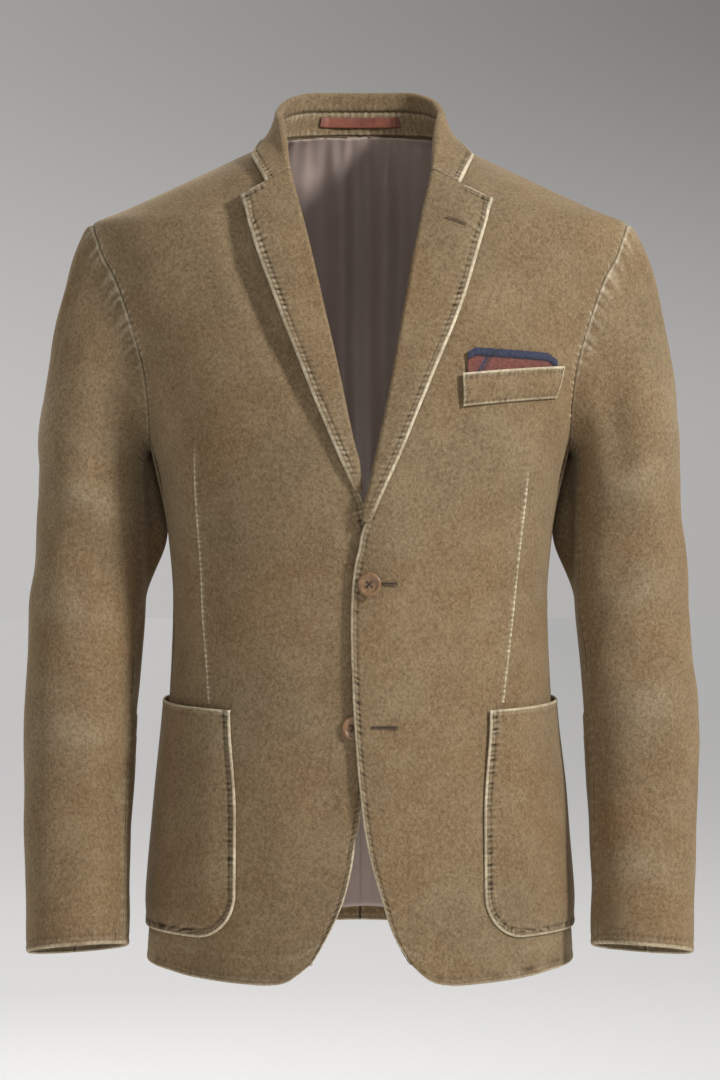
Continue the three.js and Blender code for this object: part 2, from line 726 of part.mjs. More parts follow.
function capRow(share) {
  return ARM_RING.map((place, k) => {
    const angle = ARM_ANGLES[k];
    const normal = trunkNormal(place.theta, place.w);
    const before = ARM_RING[(k + ARM_RING.length - 1) % ARM_RING.length];
    const after = ARM_RING[(k + 1) % ARM_RING.length];
    const run = trunk(after.theta, after.w).sub(trunk(before.theta, before.w));
    const inward = run.cross(normal).normalize();
    const hub = trunk(0, ARMHOLE.w);
    const start = trunk(place.theta, place.w);
    if (inward.dot(hub.sub(start)) < 0) inward.negate();
    const under = ((1 - Math.cos(angle)) / 2) ** 3;
    const leave = normal.clone().multiplyScalar(mix(CAP.out, 1, under))
      .addScaledVector(inward, CAP.over * (1 - under));
    const shift = 3 * SEAM + (CLOTH / 2) * Math.abs(leave.clone().normalize().dot(normal));
    start.addScaledVector(inward, shift);
    const end = sleeveRing(SLEEVE[0], angle);
    const far = start.distanceTo(end);
    const from = leave.multiplyScalar(far * mix(CAP.startPull, 1, under));
    const down = new THREE.Vector3(0, 0, -far * mix(CAP.endPull, 1, under));
    return hermite(start, from, end, down, share);
  });
}

function hermite(a, leave, b, arrive, t) {
  const stay = (1 + 2 * t) * (1 - t) * (1 - t);
  return a.clone().multiplyScalar(stay).addScaledVector(leave, t * (1 - t) * (1 - t))
    .addScaledVector(b, 1 - stay).addScaledVector(arrive, -t * t * (1 - t));
}

function sleeveGrid() {
  return [...CAP_SHARES.map(capRow),
    ...SLEEVE.map((row) => ARM_ANGLES.map((angle) => sleeveRing(row, angle)))];
}

// Both faces of the whole sleeve, so that its two parts share their seams
function sleeveFaces() {
  const grid = sleeveGrid();
  const last = grid.length - 1;
  const shift = (sign) => grid.map((row, i) => row.map((point, k) => {
    const around = row[(k + 1) % RING_STEPS].clone()
      .sub(row[(k + RING_STEPS - 1) % RING_STEPS]);
    const down = grid[Math.min(i + 1, last)][k].clone().sub(grid[Math.max(i - 1, 0)][k]);
    const normal = around.cross(down).normalize();
    const hub = row.reduce((sum, each) => sum.add(each), new THREE.Vector3())
      .multiplyScalar(1 / row.length);
    if (i > CAP_SHARES.length && normal.dot(point.clone().sub(hub)) < 0) normal.negate();
    return point.clone().addScaledVector(normal, sign * CLOTH / 2);
  }));
  return [shift(1), shift(-1)];
}

function sleevePart(faces, first, count) {
  const cut = (face) => inset(face.map((row) => Array.from({ length: count + 1 }, (_, j) => (
    row[(first + j) % RING_STEPS].clone()))), ['start', 'end']);
  return wall(cut(faces[0]), cut(faces[1]));
}

const SLEEVE_FACES = sleeveFaces();
const UNDER_COUNT = BACK_SEAM_STEP - FRONT_SEAM_STEP;
for (const side of SIDES) {
  const top = sleevePart(SLEEVE_FACES, BACK_SEAM_STEP, RING_STEPS - UNDER_COUNT);
  const under = sleevePart(SLEEVE_FACES, FRONT_SEAM_STEP, UNDER_COUNT);
  add(`sleeve_top_${side.name}`, mirrored(top, side.sign), CLOTH_LOOK);
  add(`sleeve_under_${side.name}`, mirrored(under, side.sign), CLOTH_LOOK);
}

// The collar: stand and fall, by sections round the neck

function neckPlaces(side) {
  const back = steps(NECK_STEPS).map((t) => ({ theta: SPINE * (1 - t), w: NECK_W }));
  return [...back, ...neckFront(side).reverse().slice(1)];
}

// Where the outer edge of the collar lies, section by section
function collarEdge(side) {
  const tip = onFront(side.tip.x, side.tip.z);
  const notch = onFront(side.notch.x, side.notch.z);
  return [...COLLAR_OVER_BACK, tip, between(tip, notch, 0.5)];
}

function collarSection(side, i, neck, edges) {
  const foot = onTrunk(neck[i], -CLOTH / 2);
  const row = COLLAR_FOLD[i];
  const crest = new THREE.Vector3(row.x, row.y, row.z);
  const back = i > 0 ? onTrunk(neck[i - 1], 0) : onTrunk({ theta: SPINE + PAST_SPINE, w: NECK_W }, 0);
  const along = onTrunk(neck[i + 1], 0).sub(back);
  const normal = trunkNormal(neck[i].theta, neck[i].w);
  const inward = along.clone().cross(normal).normalize();
  const rise = crest.clone().sub(foot).normalize();
  foot.addScaledVector(inward, 2 * SEAM + (CLOTH / 2) * Math.abs(rise.dot(normal)));
  const up = crest.clone().sub(foot).normalize();
  const outward = up.clone().cross(along).normalize();
  const centre = crest.clone().addScaledVector(up, -COLLAR_RADIUS - CLOTH / 2);
  const inner = centre.clone().addScaledVector(outward, -COLLAR_RADIUS);
  const split = foot.clone().lerp(inner, row.stand);
  const turned = steps(FOLD_TURNS).map((t) => centre.clone()
    .addScaledVector(outward, -COLLAR_RADIUS * Math.cos(Math.PI * t))
    .addScaledVector(up, COLLAR_RADIUS * Math.sin(Math.PI * t)));
  const start = turned[FOLD_TURNS];
  const end = onTrunk(edges[i], COLLAR_LIFT);
  const down = end.clone().sub(onTrunk(between(edges[i], neck[i], COLLAR_LAY), COLLAR_LIFT)).normalize();
  const far = start.distanceTo(end);
  const over = COLLAR_SHARES.map((t) => hermite(start, up.clone().multiplyScalar(-far * COLLAR_PULL),
    end, down.clone().multiplyScalar(far * COLLAR_PULL), t));
  return { foot, inner, split, outward, fall: [split, ...turned, ...over] };
}

function collarHalf(side) {
  const neck = neckPlaces(side);
  const edges = collarEdge(side);
  const sections = COLLAR_FOLD.map((_, i) => collarSection(side, i, neck, edges));
  const top = lapelMiddle(side).pop().slice(0, 2 + FOLD_TURNS + COLLAR_SHARES.length);
  return { sections, top };
}

function flip(point, sign) {
  return new THREE.Vector3(point.x * sign, point.y, point.z);
}

const HALVES = SIDES.map(collarHalf);

// Sections of both halves in one run, from the right front round to the left front
function roundNeck(pick) {
  const run = SIDES.map((side, s) => pick(HALVES[s]).map((section) => (
    section.map((point) => flip(point, side.sign)))));
  return [...run[1].reverse(), ...run[0].slice(1)];
}

const fallSections = roundNeck((half) => [...half.sections.map((each) => each.fall), half.top]);
const fallGrid = inset(inset(fallSections, ['bottom', 'top'], CLEAR), ['start']);
add('collar_fall', thicken(fallGrid, CLOTH), CLOTH_LOOK);

const standSections = roundNeck((half) => half.sections.map((each) => (
  [each.foot, each.foot.clone().lerp(each.split, 0.5), each.split])));
add('collar_stand', thicken(inset(standSections, ['start', 'end']), CLOTH), CLOTH_LOOK);

// The hanger loop, a flat strip on the inner face of the stand

function standPoint(x, z, into) {
  const sections = HALVES[0].sections;
  const far = Math.abs(x);
  const next = Math.max(sections.findIndex((each) => each.foot.x > far), 1);
  const [a, b] = [sections[next - 1], sections[next]];
  const t = (far - a.foot.x) / (b.foot.x - a.foot.x);
  const low = a.foot.clone().lerp(b.foot, t);
  const high = a.split.clone().lerp(b.split, t);
  const up = (z - low.z) / (high.z - low.z);
  const outward = a.outward.clone().lerp(b.outward, t).normalize();
  return flip(low.lerp(high, up).addScaledVector(outward, -into), Math.sign(x) || 1);
}

const loopColumns = LOOP_SHARES.map((share) => share * LOOP.halfLength);
const loopFace = (into) => [LOOP.bottom, LOOP.top].map((z) => (
  loopColumns.map((x) => standPoint(x, z, into))));
const loopNear = CLOTH / 2 + CLEAR;
add('hanger_loop', wall(loopFace(loopNear), loopFace(loopNear + LEATHER)), LEATHER_LOOK);

// Back lining: the right half laps over the left one in a pleat down the centre

function liningFace(side, depth) {
  const face = inset(backPlaces().map((row, i) => row.slice(0, LINING_COLUMNS + 1)
    .map((place, j) => {
      const under = j === 0 ? TUCK_DEPTH : 0;
      const lapped = side.sign < 0 && j < 2 ? TUCK_DEPTH + LINING + CLEAR : under;
      const raised = { theta: place.theta, w: place.w + (i === 0 ? LINING_HEM : 0) };
      return onTrunk(raised, -CLOTH - CLEAR - lapped - depth);
    })), ['top', 'end']);
  if (side.sign < 0) return face;
  return face.map((row) => {
    const share = PLEAT / row[0].distanceTo(row[1]);
    return [flip(row[0].clone().lerp(row[1], share), -1), ...row];
  });
}

for (const side of SIDES) {
  const half = wall(liningFace(side, 0), liningFace(side, LINING));
  add(`back_lining_${side.name}`, mirrored(half, side.sign), LINING_LOOK);
}

// Patch pockets on the front, wrapping round to the side

function patchGrid() {
  const high = PATCH.top - PATCH.bottom;
  return PATCH_ROW_SHARES.map((share) => {
    const up = share * high;
    const drop = Math.max(PATCH.corner - up, 0);
    const narrow = PATCH.corner - Math.sqrt(PATCH.corner ** 2 - drop ** 2);
    const w = PATCH.bottom + up;
    const edge = onFront(PATCH.edgeX, w).theta;
    return steps(PATCH_COLUMNS).map((t) => {
      const s = mix(narrow, PATCH.width - narrow, t);
      const rim = Math.min(s - narrow, PATCH.width - narrow - s, up);
      return { theta: around(edge, w, s), w, rim };
    });
  });
}

for (const side of SIDES) {
  const out = (place) => ON_PANEL + CLOTH + PATCH.puff * ease(place.rim / PATCH.ease);
  const patch = cover(patchGrid(), out, CLOTH, []);
  add(`patch_pocket_${side.name}`, mirrored(patch, side.sign), CLOTH_LOOK);
}

// Breast pocket: the welt and the insert behind it

function weltPlace(t, down) {
  const x = mix(WELT.inner, WELT.outer, t) + down * mix(WELT_SLANT.inner, WELT_SLANT.outer, t);
  const z = mix(WELT.topInner, WELT.topOuter, t) - WELT.deep * down;
  return { ...onFront(x, z), down };
}

const weltPlaces = [1, 0.5, 0].map((down) => steps(WELT_STEPS).map((t) => weltPlace(t, down)));
const weltSink = (down) => WELT_SINK.depth * ease((down - WELT_SINK.from) / (1 - WELT_SINK.from));
const weltOut = (place) => ON_PANEL + CLOTH + INSERT + 3 * CLEAR - weltSink(place.down);
add('breast_welt', cover(weltPlaces, weltOut, CLOTH, []), CLOTH_LOOK);

const insertPlaces = [0, 0.5, 1].map((up) => steps(WELT_STEPS).map((t) => {
  const x = mix(INSERT_SIZE.inner, INSERT_SIZE.outer, t);
  const welt = (x - WELT.inner) / (WELT.outer - WELT.inner);
  const foot = mix(WELT.topInner, WELT.topOuter, welt) - INSERT_SIZE.tuck;
  return onFront(x, mix(foot, INSERT_SIZE.top, up));
}));
add('pocket_insert', cover(insertPlaces, () => ON_PANEL + INSERT, INSERT, []), INSERT_LOOK);

// Buttons: turned discs with a rim and four holes

const wasm = await Module();
wasm.setup();

function solid(geometry) {
  const bare = geometry.clone();
  bare.deleteAttribute('normal');
  bare.deleteAttribute('uv');
  const merged = mergeVertices(bare, MERGE);
  return new wasm.Manifold(new wasm.Mesh({
    numProp: 3,
    vertProperties: new Float32Array(merged.attributes.position.array),
    triVerts: new Uint32Array(merged.index.array),
  }));
}

function geometryOf(manifold) {
  const mesh = manifold.getMesh();
  const geometry = new THREE.BufferGeometry();
  geometry.setAttribute('position', new THREE.BufferAttribute(mesh.vertProperties, 3));
  geometry.setIndex(new THREE.BufferAttribute(mesh.triVerts, 1));
  return geometry;
}

// A button whose flat back is at height 0 and whose face is up +Y
function buttonGeometry() {
  const profile = BUTTON_PROFILE.map((row) => new THREE.Vector2(row.radius, row.height));
  let disc = solid(new THREE.LatheGeometry(profile, BUTTON_SIDES));
  if (disc.volume() < 0) throw new Error('The button is inside out');
  for (const [sx, sz] of [[1, 1], [1, -1], [-1, 1], [-1, -1]]) {
    const drill = new THREE.CylinderGeometry(BUTTON.hole, BUTTON.hole, 4 * BUTTON.thick, HOLE_SIDES);
    drill.translate(sx * BUTTON.holeSpread, 0, sz * BUTTON.holeSpread);
    disc = disc.subtract(solid(drill));
  }
  return geometryOf(disc);
}

function addButton(name, side, spot, out, turn) {
  const place = onFront(spot.x, spot.z);
  const normal = trunkNormal(place.theta, place.w);
  const seat = onTrunk(place, out);
  seat.x *= side.sign;
  normal.x *= side.sign;
  normal.applyAxisAngle(new THREE.Vector3(0, 0, 1), turn);
  add(name, buttonGeometry(), BUTTON_LOOK);
  const mesh = blazer.children[blazer.children.length - 1];
  mesh.position.copy(seat);
  mesh.quaternion.setFromUnitVectors(new THREE.Vector3(0, 1, 0), normal);
}

const lifted = BUTTON.radius * Math.sin(BUTTON_TURN);
addButton('button_top', SIDES[0], TOP_BUTTON, SIDES[0].proud + CLEAR + lifted, -BUTTON_TURN);
addButton('button_lower', SIDES[1], LOWER_BUTTON, CLEAR, 0);

export default blazer;
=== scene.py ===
# %% [markdown]
# # A washed two-button blazer
# The coat stands open and empty, as if a wearer had just left it. It is cut from brushed cotton that
# was washed after sewing, so every stitched edge is puckered and worn pale. Each panel is one sheet
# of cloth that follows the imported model's form, with its creases, seams and stitches in the mesh.

# %% Load the frame
import math
import bmesh
import bpy
import numpy as np
from mathutils import Matrix, Vector


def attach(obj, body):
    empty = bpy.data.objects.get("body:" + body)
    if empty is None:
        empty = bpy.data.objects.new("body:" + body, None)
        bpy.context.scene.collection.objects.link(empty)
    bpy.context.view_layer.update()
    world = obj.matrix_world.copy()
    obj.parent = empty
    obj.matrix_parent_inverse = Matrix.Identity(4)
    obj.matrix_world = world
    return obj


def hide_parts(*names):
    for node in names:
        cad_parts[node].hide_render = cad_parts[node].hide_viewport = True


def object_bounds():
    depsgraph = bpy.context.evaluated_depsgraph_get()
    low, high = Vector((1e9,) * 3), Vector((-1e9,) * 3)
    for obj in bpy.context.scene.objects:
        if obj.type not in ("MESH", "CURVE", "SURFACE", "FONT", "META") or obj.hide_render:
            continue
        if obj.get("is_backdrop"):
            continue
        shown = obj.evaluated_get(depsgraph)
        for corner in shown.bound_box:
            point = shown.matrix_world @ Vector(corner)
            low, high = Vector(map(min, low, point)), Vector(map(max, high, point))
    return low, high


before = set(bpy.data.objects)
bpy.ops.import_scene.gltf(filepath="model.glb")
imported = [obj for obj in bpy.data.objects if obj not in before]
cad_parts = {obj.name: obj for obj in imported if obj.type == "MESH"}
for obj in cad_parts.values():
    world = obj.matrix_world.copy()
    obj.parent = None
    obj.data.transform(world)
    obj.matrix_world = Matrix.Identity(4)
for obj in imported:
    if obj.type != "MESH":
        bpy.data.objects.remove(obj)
cad_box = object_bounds()
MM = 0.001
print("packed nodes:", len(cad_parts))

# %% [markdown]
# The camera looks level along +Y at the middle of the coat, from 2.8 m. A long lens keeps the coat's
# proportions, as a catalogue photographer would. The picture's long side is 36 mm on the sensor. The
# standard view keeps the colours as they are mixed below.

# %% Camera
PICTURE_HEIGHT = 1080
FOCAL_PIXELS = 3068
SENSOR = 36
CAMERA_PLACE = (0, -2.778, -0.366)

scene = bpy.context.scene
camera = bpy.data.objects.new("camera", bpy.data.cameras.new("camera"))
camera.data.sensor_width = SENSOR
camera.data.lens = FOCAL_PIXELS * SENSOR / PICTURE_HEIGHT
camera.location = CAMERA_PLACE
camera.rotation_euler = (math.pi / 2, 0, 0)
scene.collection.objects.link(camera)
scene.camera = camera
scene.view_settings.view_transform = "Standard"

# %% [markdown]
# Materials are built from nodes. One small function adds a node with its settings and its links, and
# another turns an sRGB hex colour, as a painter would name it, into the linear numbers of the shader.

# %% Node helpers
def linear(hex_colour):
    """An sRGB hex colour as linear red, green, blue and alpha."""
    parts = [int(hex_colour[i:i + 2], 16) / 255 for i in (1, 3, 5)]
    return (*[c / 12.92 if c <= 0.04045 else ((c + 0.055) / 1.055) ** 2.4 for c in parts], 1)


def node(tree, kind, links=None, values=None, **settings):
    """Adds a node: settings are its properties, values its sockets, links what feeds its sockets."""
    made = tree.nodes.new(kind)
    for key, value in settings.items():
        setattr(made, key, value)
    for key, value in (values or {}).items():
        made.inputs[key].default_value = value
    for key, source in (links or {}).items():
        tree.links.new(source, made.inputs[key])
    return made


def material(name):
    """A new material with an empty tree: returns the material and its tree."""
    made = bpy.data.materials.new(name)
    made.use_nodes = True
    made.node_tree.nodes.clear()
    return made, made.node_tree


def ramp(tree, source, stops):
    """A colour ramp over grey values: stops are (position, grey)."""
    made = node(tree, "ShaderNodeValToRGB", {"Fac": source})
    elements = made.color_ramp.elements
    while len(elements) < len(stops):
        elements.new(0.5)
    for element, (place, grey) in zip(elements, stops):
        element.position = place
        element.color = (grey, grey, grey, 1)
    return made.outputs["Color"]


def blend(tree, share, first, second, mode="MIX"):
    """Mixes two colours: each is a socket or a linear colour."""
    made = node(tree, "ShaderNodeMix", data_type="RGBA", blend_type=mode)
    sockets = {"Factor": made.inputs[0], "A": made.inputs[6], "B": made.inputs[7]}
    for socket, value in zip(sockets.values(), (share, first, second)):
        if isinstance(value, bpy.types.NodeSocket):
            tree.links.new(value, socket)
        else:
            socket.default_value = value
    return made.outputs[2]


def shade(tree, source, stops, first, second):
    """Mixes two colours by a ramp over grey values. A colour is a hex name or a socket."""
    colours = [linear(each) if isinstance(each, str) else each for each in (first, second)]
    return blend(tree, ramp(tree, source, stops), *colours)


def spread(tree, value, low, high, kind="LINEAR"):
    """Stretches the values between low and high to run from 0 to 1."""
    return node(tree, "ShaderNodeMapRange", {"Value": value}, {"From Min": low, "From Max": high},
                interpolation_type=kind).outputs["Result"]


def coordinates(tree, kind="Object"):
    return node(tree, "ShaderNodeTexCoord").outputs[kind]


def axis_of(tree, vector, axis):
    return node(tree, "ShaderNodeSeparateXYZ", {"Vector": vector}).outputs[axis]


def attribute(tree, name):
    return node(tree, "ShaderNodeAttribute", attribute_name=name).outputs["Fac"]


def surface(tree, links, values):
    """The material's shader, joined to its output."""
    shader = node(tree, "ShaderNodeBsdfPrincipled", links, values)
    node(tree, "ShaderNodeOutputMaterial", {"Surface": shader.outputs[0]})


def mesh_from(bm, name):
    """Ends a bmesh as a mesh of the given name."""
    mesh = bpy.data.meshes.new(name)
    bm.to_mesh(mesh)
    bm.free()
    return mesh


# %% [markdown]
# A studio for one garment: a wide pale floor, 1.45 m below the nape as for a standing wearer, and
# large soft lamps. The key lamp stands to the right of the camera, so edges throw their shadows to
# the left. Behind the coat the sky is a plain backdrop grey that pales towards the horizon; in
# front, where the camera stands, the studio is dark, so the cloth keeps its shadows.

# %% Floor and backdrop
FLOOR_HEIGHT = -1.45
FLOOR_SIZE = 40
# Painted light: the floor glows by this much though it is no lamp
FLOOR_GLOW = 0.27
FLOOR_PAINTED_SHADE_ENDS = (-1.6, 2.0)
FLOOR_SHADES = {"matt": ("#dddcda", "#c6c5c3"), "glow": ("#fffdfb", "#e2e1df")}
BACKDROP = {"low": ("#c2c0bf", "#adabaa"), "high": ("#a09d9b", "#777674")}
STUDIO_DARK, STUDIO_BRIGHT = "#4b4b4d", "#f4f4f6"


def floor_material():
    """Pale matt studio floor that glows a little with painted light and is painted darker towards the right,
    so no horizon shows.
    """
    made, tree = material("floor_pale_painted_glow")
    # Painted shade: the floor's colour and glow both darken from left to right
    share = spread(tree, axis_of(tree, coordinates(tree), "X"), *FLOOR_PAINTED_SHADE_ENDS)
    surface(tree, {
        "Base Color": blend(tree, share, *map(linear, FLOOR_SHADES["matt"])),
        "Emission Color": blend(tree, share, *map(linear, FLOOR_SHADES["glow"]))},
            {"Roughness": 0.9, "Emission Strength": FLOOR_GLOW})
    return made


bm = bmesh.new()
bmesh.ops.create_grid(bm, x_segments=1, y_segments=1, size=FLOOR_SIZE)
bmesh.ops.translate(bm, verts=bm.verts, vec=(0, 0, FLOOR_HEIGHT))
floor = bpy.data.objects.new("floor", mesh_from(bm, "floor"))
floor.data.materials.append(floor_material())
scene.collection.objects.link(floor)
floor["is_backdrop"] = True

world = bpy.data.worlds.new("backdrop")
world.use_nodes = True
world.node_tree.nodes.clear()
scene.world = world
tree = world.node_tree
direction = coordinates(tree, "Generated")
height = axis_of(tree, direction, "Z")
ahead = spread(tree, axis_of(tree, direction, "Y"), -0.1, 0.45, "SMOOTHSTEP")
to_right = spread(tree, axis_of(tree, direction, "X"), -0.12, 0.14)
near_horizon = spread(tree, height, 0.02, 0.19, "SMOOTHSTEP")
above = spread(tree, height, 0.2, 0.6, "SMOOTHSTEP")
low, high = (blend(tree, to_right, *map(linear, BACKDROP[key])) for key in ("low", "high"))
backdrop = blend(tree, near_horizon, low, high)
lit = blend(tree, above, backdrop, linear(STUDIO_BRIGHT))
sky = node(tree, "ShaderNodeBackground", {
    "Color": blend(tree, ahead, linear(STUDIO_DARK), lit)}, {"Strength": 1.0})
node(tree, "ShaderNodeOutputWorld", {"Surface": sky.outputs[0]})

# %% Lamps
COAT_MIDDLE = Vector((0, -0.08, -0.36))
LAMPS = [
    ("key", (2.4, -1.9, 1.2), COAT_MIDDLE, 0.55, 104),
    ("fill", (-2.4, -2.8, 0.2), COAT_MIDDLE, 2.4, 11),
    ("front", (0.0, -3.2, 1.3), COAT_MIDDLE, 1.0, 13),
    ("top", (0.2, -0.4, 2.4), COAT_MIDDLE, 1.4, 10),
    ("back", (-0.8, 3.4, 1.2), COAT_MIDDLE, 2.4, 35),
    ("floor", (0.4, 4.5, 2.6), (0.4, 4.5, FLOOR_HEIGHT), 3.0, 50),
]
for name, place, aim, size, power in LAMPS:
    lamp = bpy.data.objects.new(name, bpy.data.lights.new(name, "AREA"))
    lamp.data.shape = "DISK"
    lamp.data.size = size
    lamp.data.energy = power
    lamp.location = place
    lamp.rotation_mode = "QUATERNION"
    lamp.rotation_quaternion = (Vector(aim) - Vector(place)).to_track_quat("-Z", "Y")
    scene.collection.objects.link(lamp)
print("lamps:", len(LAMPS))

# %% [markdown]
# The cloth is a washed, brushed cotton: matt, with a short nap that pales at grazing angles, mottled
# by the wash in patches of 1 mm to 65 mm, and worn to pale cotton on every raised edge. The wear, and
# the painted shade laid into pucker dips, stitch grooves and seam lines, are two numbers on each point
# of the mesh, `worn` and a painted-shade value, so they stay on their seams from every side.

# %% Cloth material
# The last colour is painted shade, laid into pucker dips, stitch grooves and seam lines
CLOTH_SHADES = {"deep": "#4f3e2c", "base": "#7d6a50", "light": "#9c8a6c", "warm": "#816646",
                "worn": "#dccfb2", "painted_shade": "#241b12"}


def spotted(tree, size_mm, detail=2.0, stretch=(1, 1, 1)):
    """Noise whose spots are about the given size, on the piece's own metres."""
    place = node(tree, "ShaderNodeMapping", {"Vector": coordinates(tree)}, {"Scale": stretch})
    return node(tree, "ShaderNodeTexNoise", {"Vector": place.outputs[0]}, {
        "Scale": 0.5 / (size_mm * MM), "Detail": detail, "Roughness": 0.6}).outputs["Fac"]


def cloth_material():
    """Brushed cotton, garment washed: matt nap, mottled, pale where it is worn."""
    made, tree = material("washed_brushed_cotton")
    deep, base, light, warm = (CLOTH_SHADES[key] for key in ("deep", "base", "light", "warm"))
    grain = spotted(tree, 0.55, 2)
    fleck = spotted(tree, 1.3, 2, (1, 1, 0.85))
    patch = spotted(tree, 17, 3)
    cloud = spotted(tree, 65, 2)
    colour = shade(tree, cloud, [(0.35, 0), (0.68, 0.9)], base, warm)
    colour = shade(tree, patch, [(0.4, 0), (0.72, 0.4)], colour, light)
    colour = shade(tree, fleck, [(0.3, 0.5), (0.52, 0)], colour, deep)
    colour = shade(tree, fleck, [(0.52, 0), (0.76, 0.55)], colour, light)
    colour = shade(tree, grain, [(0.32, 0.4), (0.5, 0)], colour, deep)
    colour = shade(tree, grain, [(0.5, 0), (0.7, 0.45)], colour, light)
    rubbed = node(tree, "ShaderNodeMath", {
        0: attribute(tree, "worn"), 1: ramp(tree, fleck, [(0.3, 0.55), (0.7, 1.2)])},
                  operation="MULTIPLY", use_clamp=True).outputs[0]
    colour = blend(tree, rubbed, colour, linear(CLOTH_SHADES["worn"]))
    # Painted shade: darkens the cloth in pucker dips, stitch grooves and seam lines
    colour = blend(tree, attribute(tree, "painted_shade"), colour, linear(CLOTH_SHADES["painted_shade"]))
    relief = node(tree, "ShaderNodeMath", {0: grain, 1: fleck}, operation="ADD").outputs[0]
    bump = node(tree, "ShaderNodeBump", {"Height": relief}, {"Strength": 0.35, "Distance": 0.0006})
    surface(tree, {"Base Color": colour, "Normal": bump.outputs[0]}, {
        "Roughness": 0.95, "Specular IOR Level": 0.15, "Sheen Weight": 0.25,
        "Sheen Roughness": 0.45, "Sheen Tint": linear("#d8c6a4")})
    return made


CLOTH_MATERIAL = cloth_material()

# %% [markdown]
# The coat's body is a stack of level rings, wide and shallow, as a figure is. A few measured rows
# give their half widths and depths, and a smooth curve runs through them. `theta` goes round from
# the wearer's left side, `w` goes up. Everything that is sewn to the body uses this one form, so it
# lies on it exactly.

# %% Curves and the trunk's rings
def named(columns, rows):
    """A table as one array for each named column."""
    return {name: np.array([row[i] for row in rows], float) for i, name in enumerate(columns.split())}


def swept(start, go, end, arrive, t):
    """The way from start to end that leaves along `go` and arrives along `arrive`, at shares t."""
    stay = (1 + 2 * t) * (1 - t) ** 2
    return start * stay + go * t * (1 - t) ** 2 + end * (1 - stay) - arrive * t * t * (1 - t)


def curve(at, value):
    """A smooth curve through rows of numbers, which never overshoots them."""
    order = np.argsort(at)
    at, value = np.asarray(at, float)[order], np.asarray(value, float)[order]
    rise = np.diff(value) / np.diff(at)
    before, after = np.r_[rise[0], rise], np.r_[rise, rise[-1]]
    both = before * after
    slope = np.where(both > 0, 2 * both / np.where(both > 0, before + after, 1), 0)

    def read(x):
        x = np.clip(x, at[0], at[-1])
        i = np.clip(np.searchsorted(at, x) - 1, 0, len(at) - 2)
        width = at[i + 1] - at[i]
        return swept(value[i], slope[i] * width, value[i + 1], slope[i + 1] * width, (x - at[i]) / width)
    return read


SHOULDER_Y = -73
MEAN_RADIUS = 150
RING_POWER = 2.3
TRUNK = named("w z half front back tilt", [
    (-770, -770, 190, 148, 128, 0), (-727, -727, 187, 148, 127, 0), (-661, -661, 182.5, 146, 124, 0),
    (-600, -600, 177, 143, 120, 0), (-501, -501, 167.5, 138, 107, 0), (-419, -419, 164.5, 137, 99, 0),
    (-360, -360, 169, 142, 105, 0), (-300, -300, 181, 147, 114, 0), (-240, -240, 196, 144, 120, 0),
    (-190, -190, 211, 130, 121, 0), (-140, -140, 229, 117, 117.5, 0.02),
    (-118, -114, 240, 111.5, 114, 0.035), (-104, -99, 241, 108, 111, 0.045),
    (-93, -89.3, 236, 105.5, 109, 0.05), (-60, -75.8, 207, 100, 104, 0.08),
    (-20, -59.4, 171.8, 94, 98, 0.12), (20, -43, 136.6, 88, 91, 0.15),
    (60, -26.6, 101.4, 77, 81, 0.18), (90, -14.3, 75, 66, 73, 0.196),
])
RING = {key: curve(TRUNK["w"], TRUNK[key]) for key in ("z", "half", "front", "back", "tilt")}
NECK_W, SHOULDER_W = 90, -93
BREAST, SPINE = -math.pi / 2, math.pi / 2


def swell(angle, power):
    """Cosine and sine that swell towards a rounded box."""
    c, s = np.cos(angle), np.sin(angle)
    k = (np.abs(c) ** power + np.abs(s) ** power) ** (-1 / power)
    return k * c, k * s


def trunk(theta, w):
    """Points on the trunk's outer face, in millimetres."""
    across, deep = swell(theta, RING_POWER)
    y = deep * np.where(deep < 0, RING["front"](w), RING["back"](w))
    return np.stack([RING["half"](w) * across, SHOULDER_Y + y, RING["z"](w) + RING["tilt"](w) * y], -1)


def from_axis(p):
    """Away from the upright axis through the shoulders."""
    return p - np.array([0, SHOULDER_Y, 0])


def unit(vectors):
    return vectors / np.maximum(np.linalg.norm(vectors, axis=-1, keepdims=True), 1e-9)


def trunk_normal(theta, w):
    step, lift = 0.004, 1.5
    low = np.where(w > SHOULDER_W - 4, w, w - lift)
    up = trunk(theta, w + lift) - trunk(theta, low)
    return unit(np.cross(trunk(theta + step, w) - trunk(theta - step, w), up))


def on_trunk(theta, w, out):
    """Points that stand off the trunk by `out` millimetres."""
    return trunk(theta, w) + trunk_normal(theta, w) * np.asarray(out)[..., None]


def on_front(x, z):
    """The angle and ring of the point on the trunk's front that shows at x and z."""
    x, z = np.broadcast_arrays(np.asarray(x, float), np.asarray(z, float))
    low, high = np.full(x.shape, TRUNK["w"][0]), np.full(x.shape, float(NECK_W))

    def angle(w):
        p = np.clip(x / RING["half"](w), -0.999, 0.999)
        return np.arctan2(-((1 - np.abs(p) ** RING_POWER) ** (1 / RING_POWER)), p)
    for _ in range(36):
        middle = (low + high) / 2
        under = trunk(angle(middle), middle)[..., 2] < z
        low, high = np.where(under, middle, low), np.where(under, high, middle)
    return angle(low), low


print("chest half width, mm:", round(float(RING["half"](-240)), 1))

# %% [markdown]
# Each panel is cut like a pattern piece: four edges, filled in between on the flat cloth and then
# laid round the body. `ring_length` turns an angle into a length of cloth measured from the centre
# line, and `ring_angle` turns it back.

# %% Panels from four edges
LEVELS = np.linspace(TRUNK["w"][0], NECK_W, 260)
PAST_CENTRE = 0.2


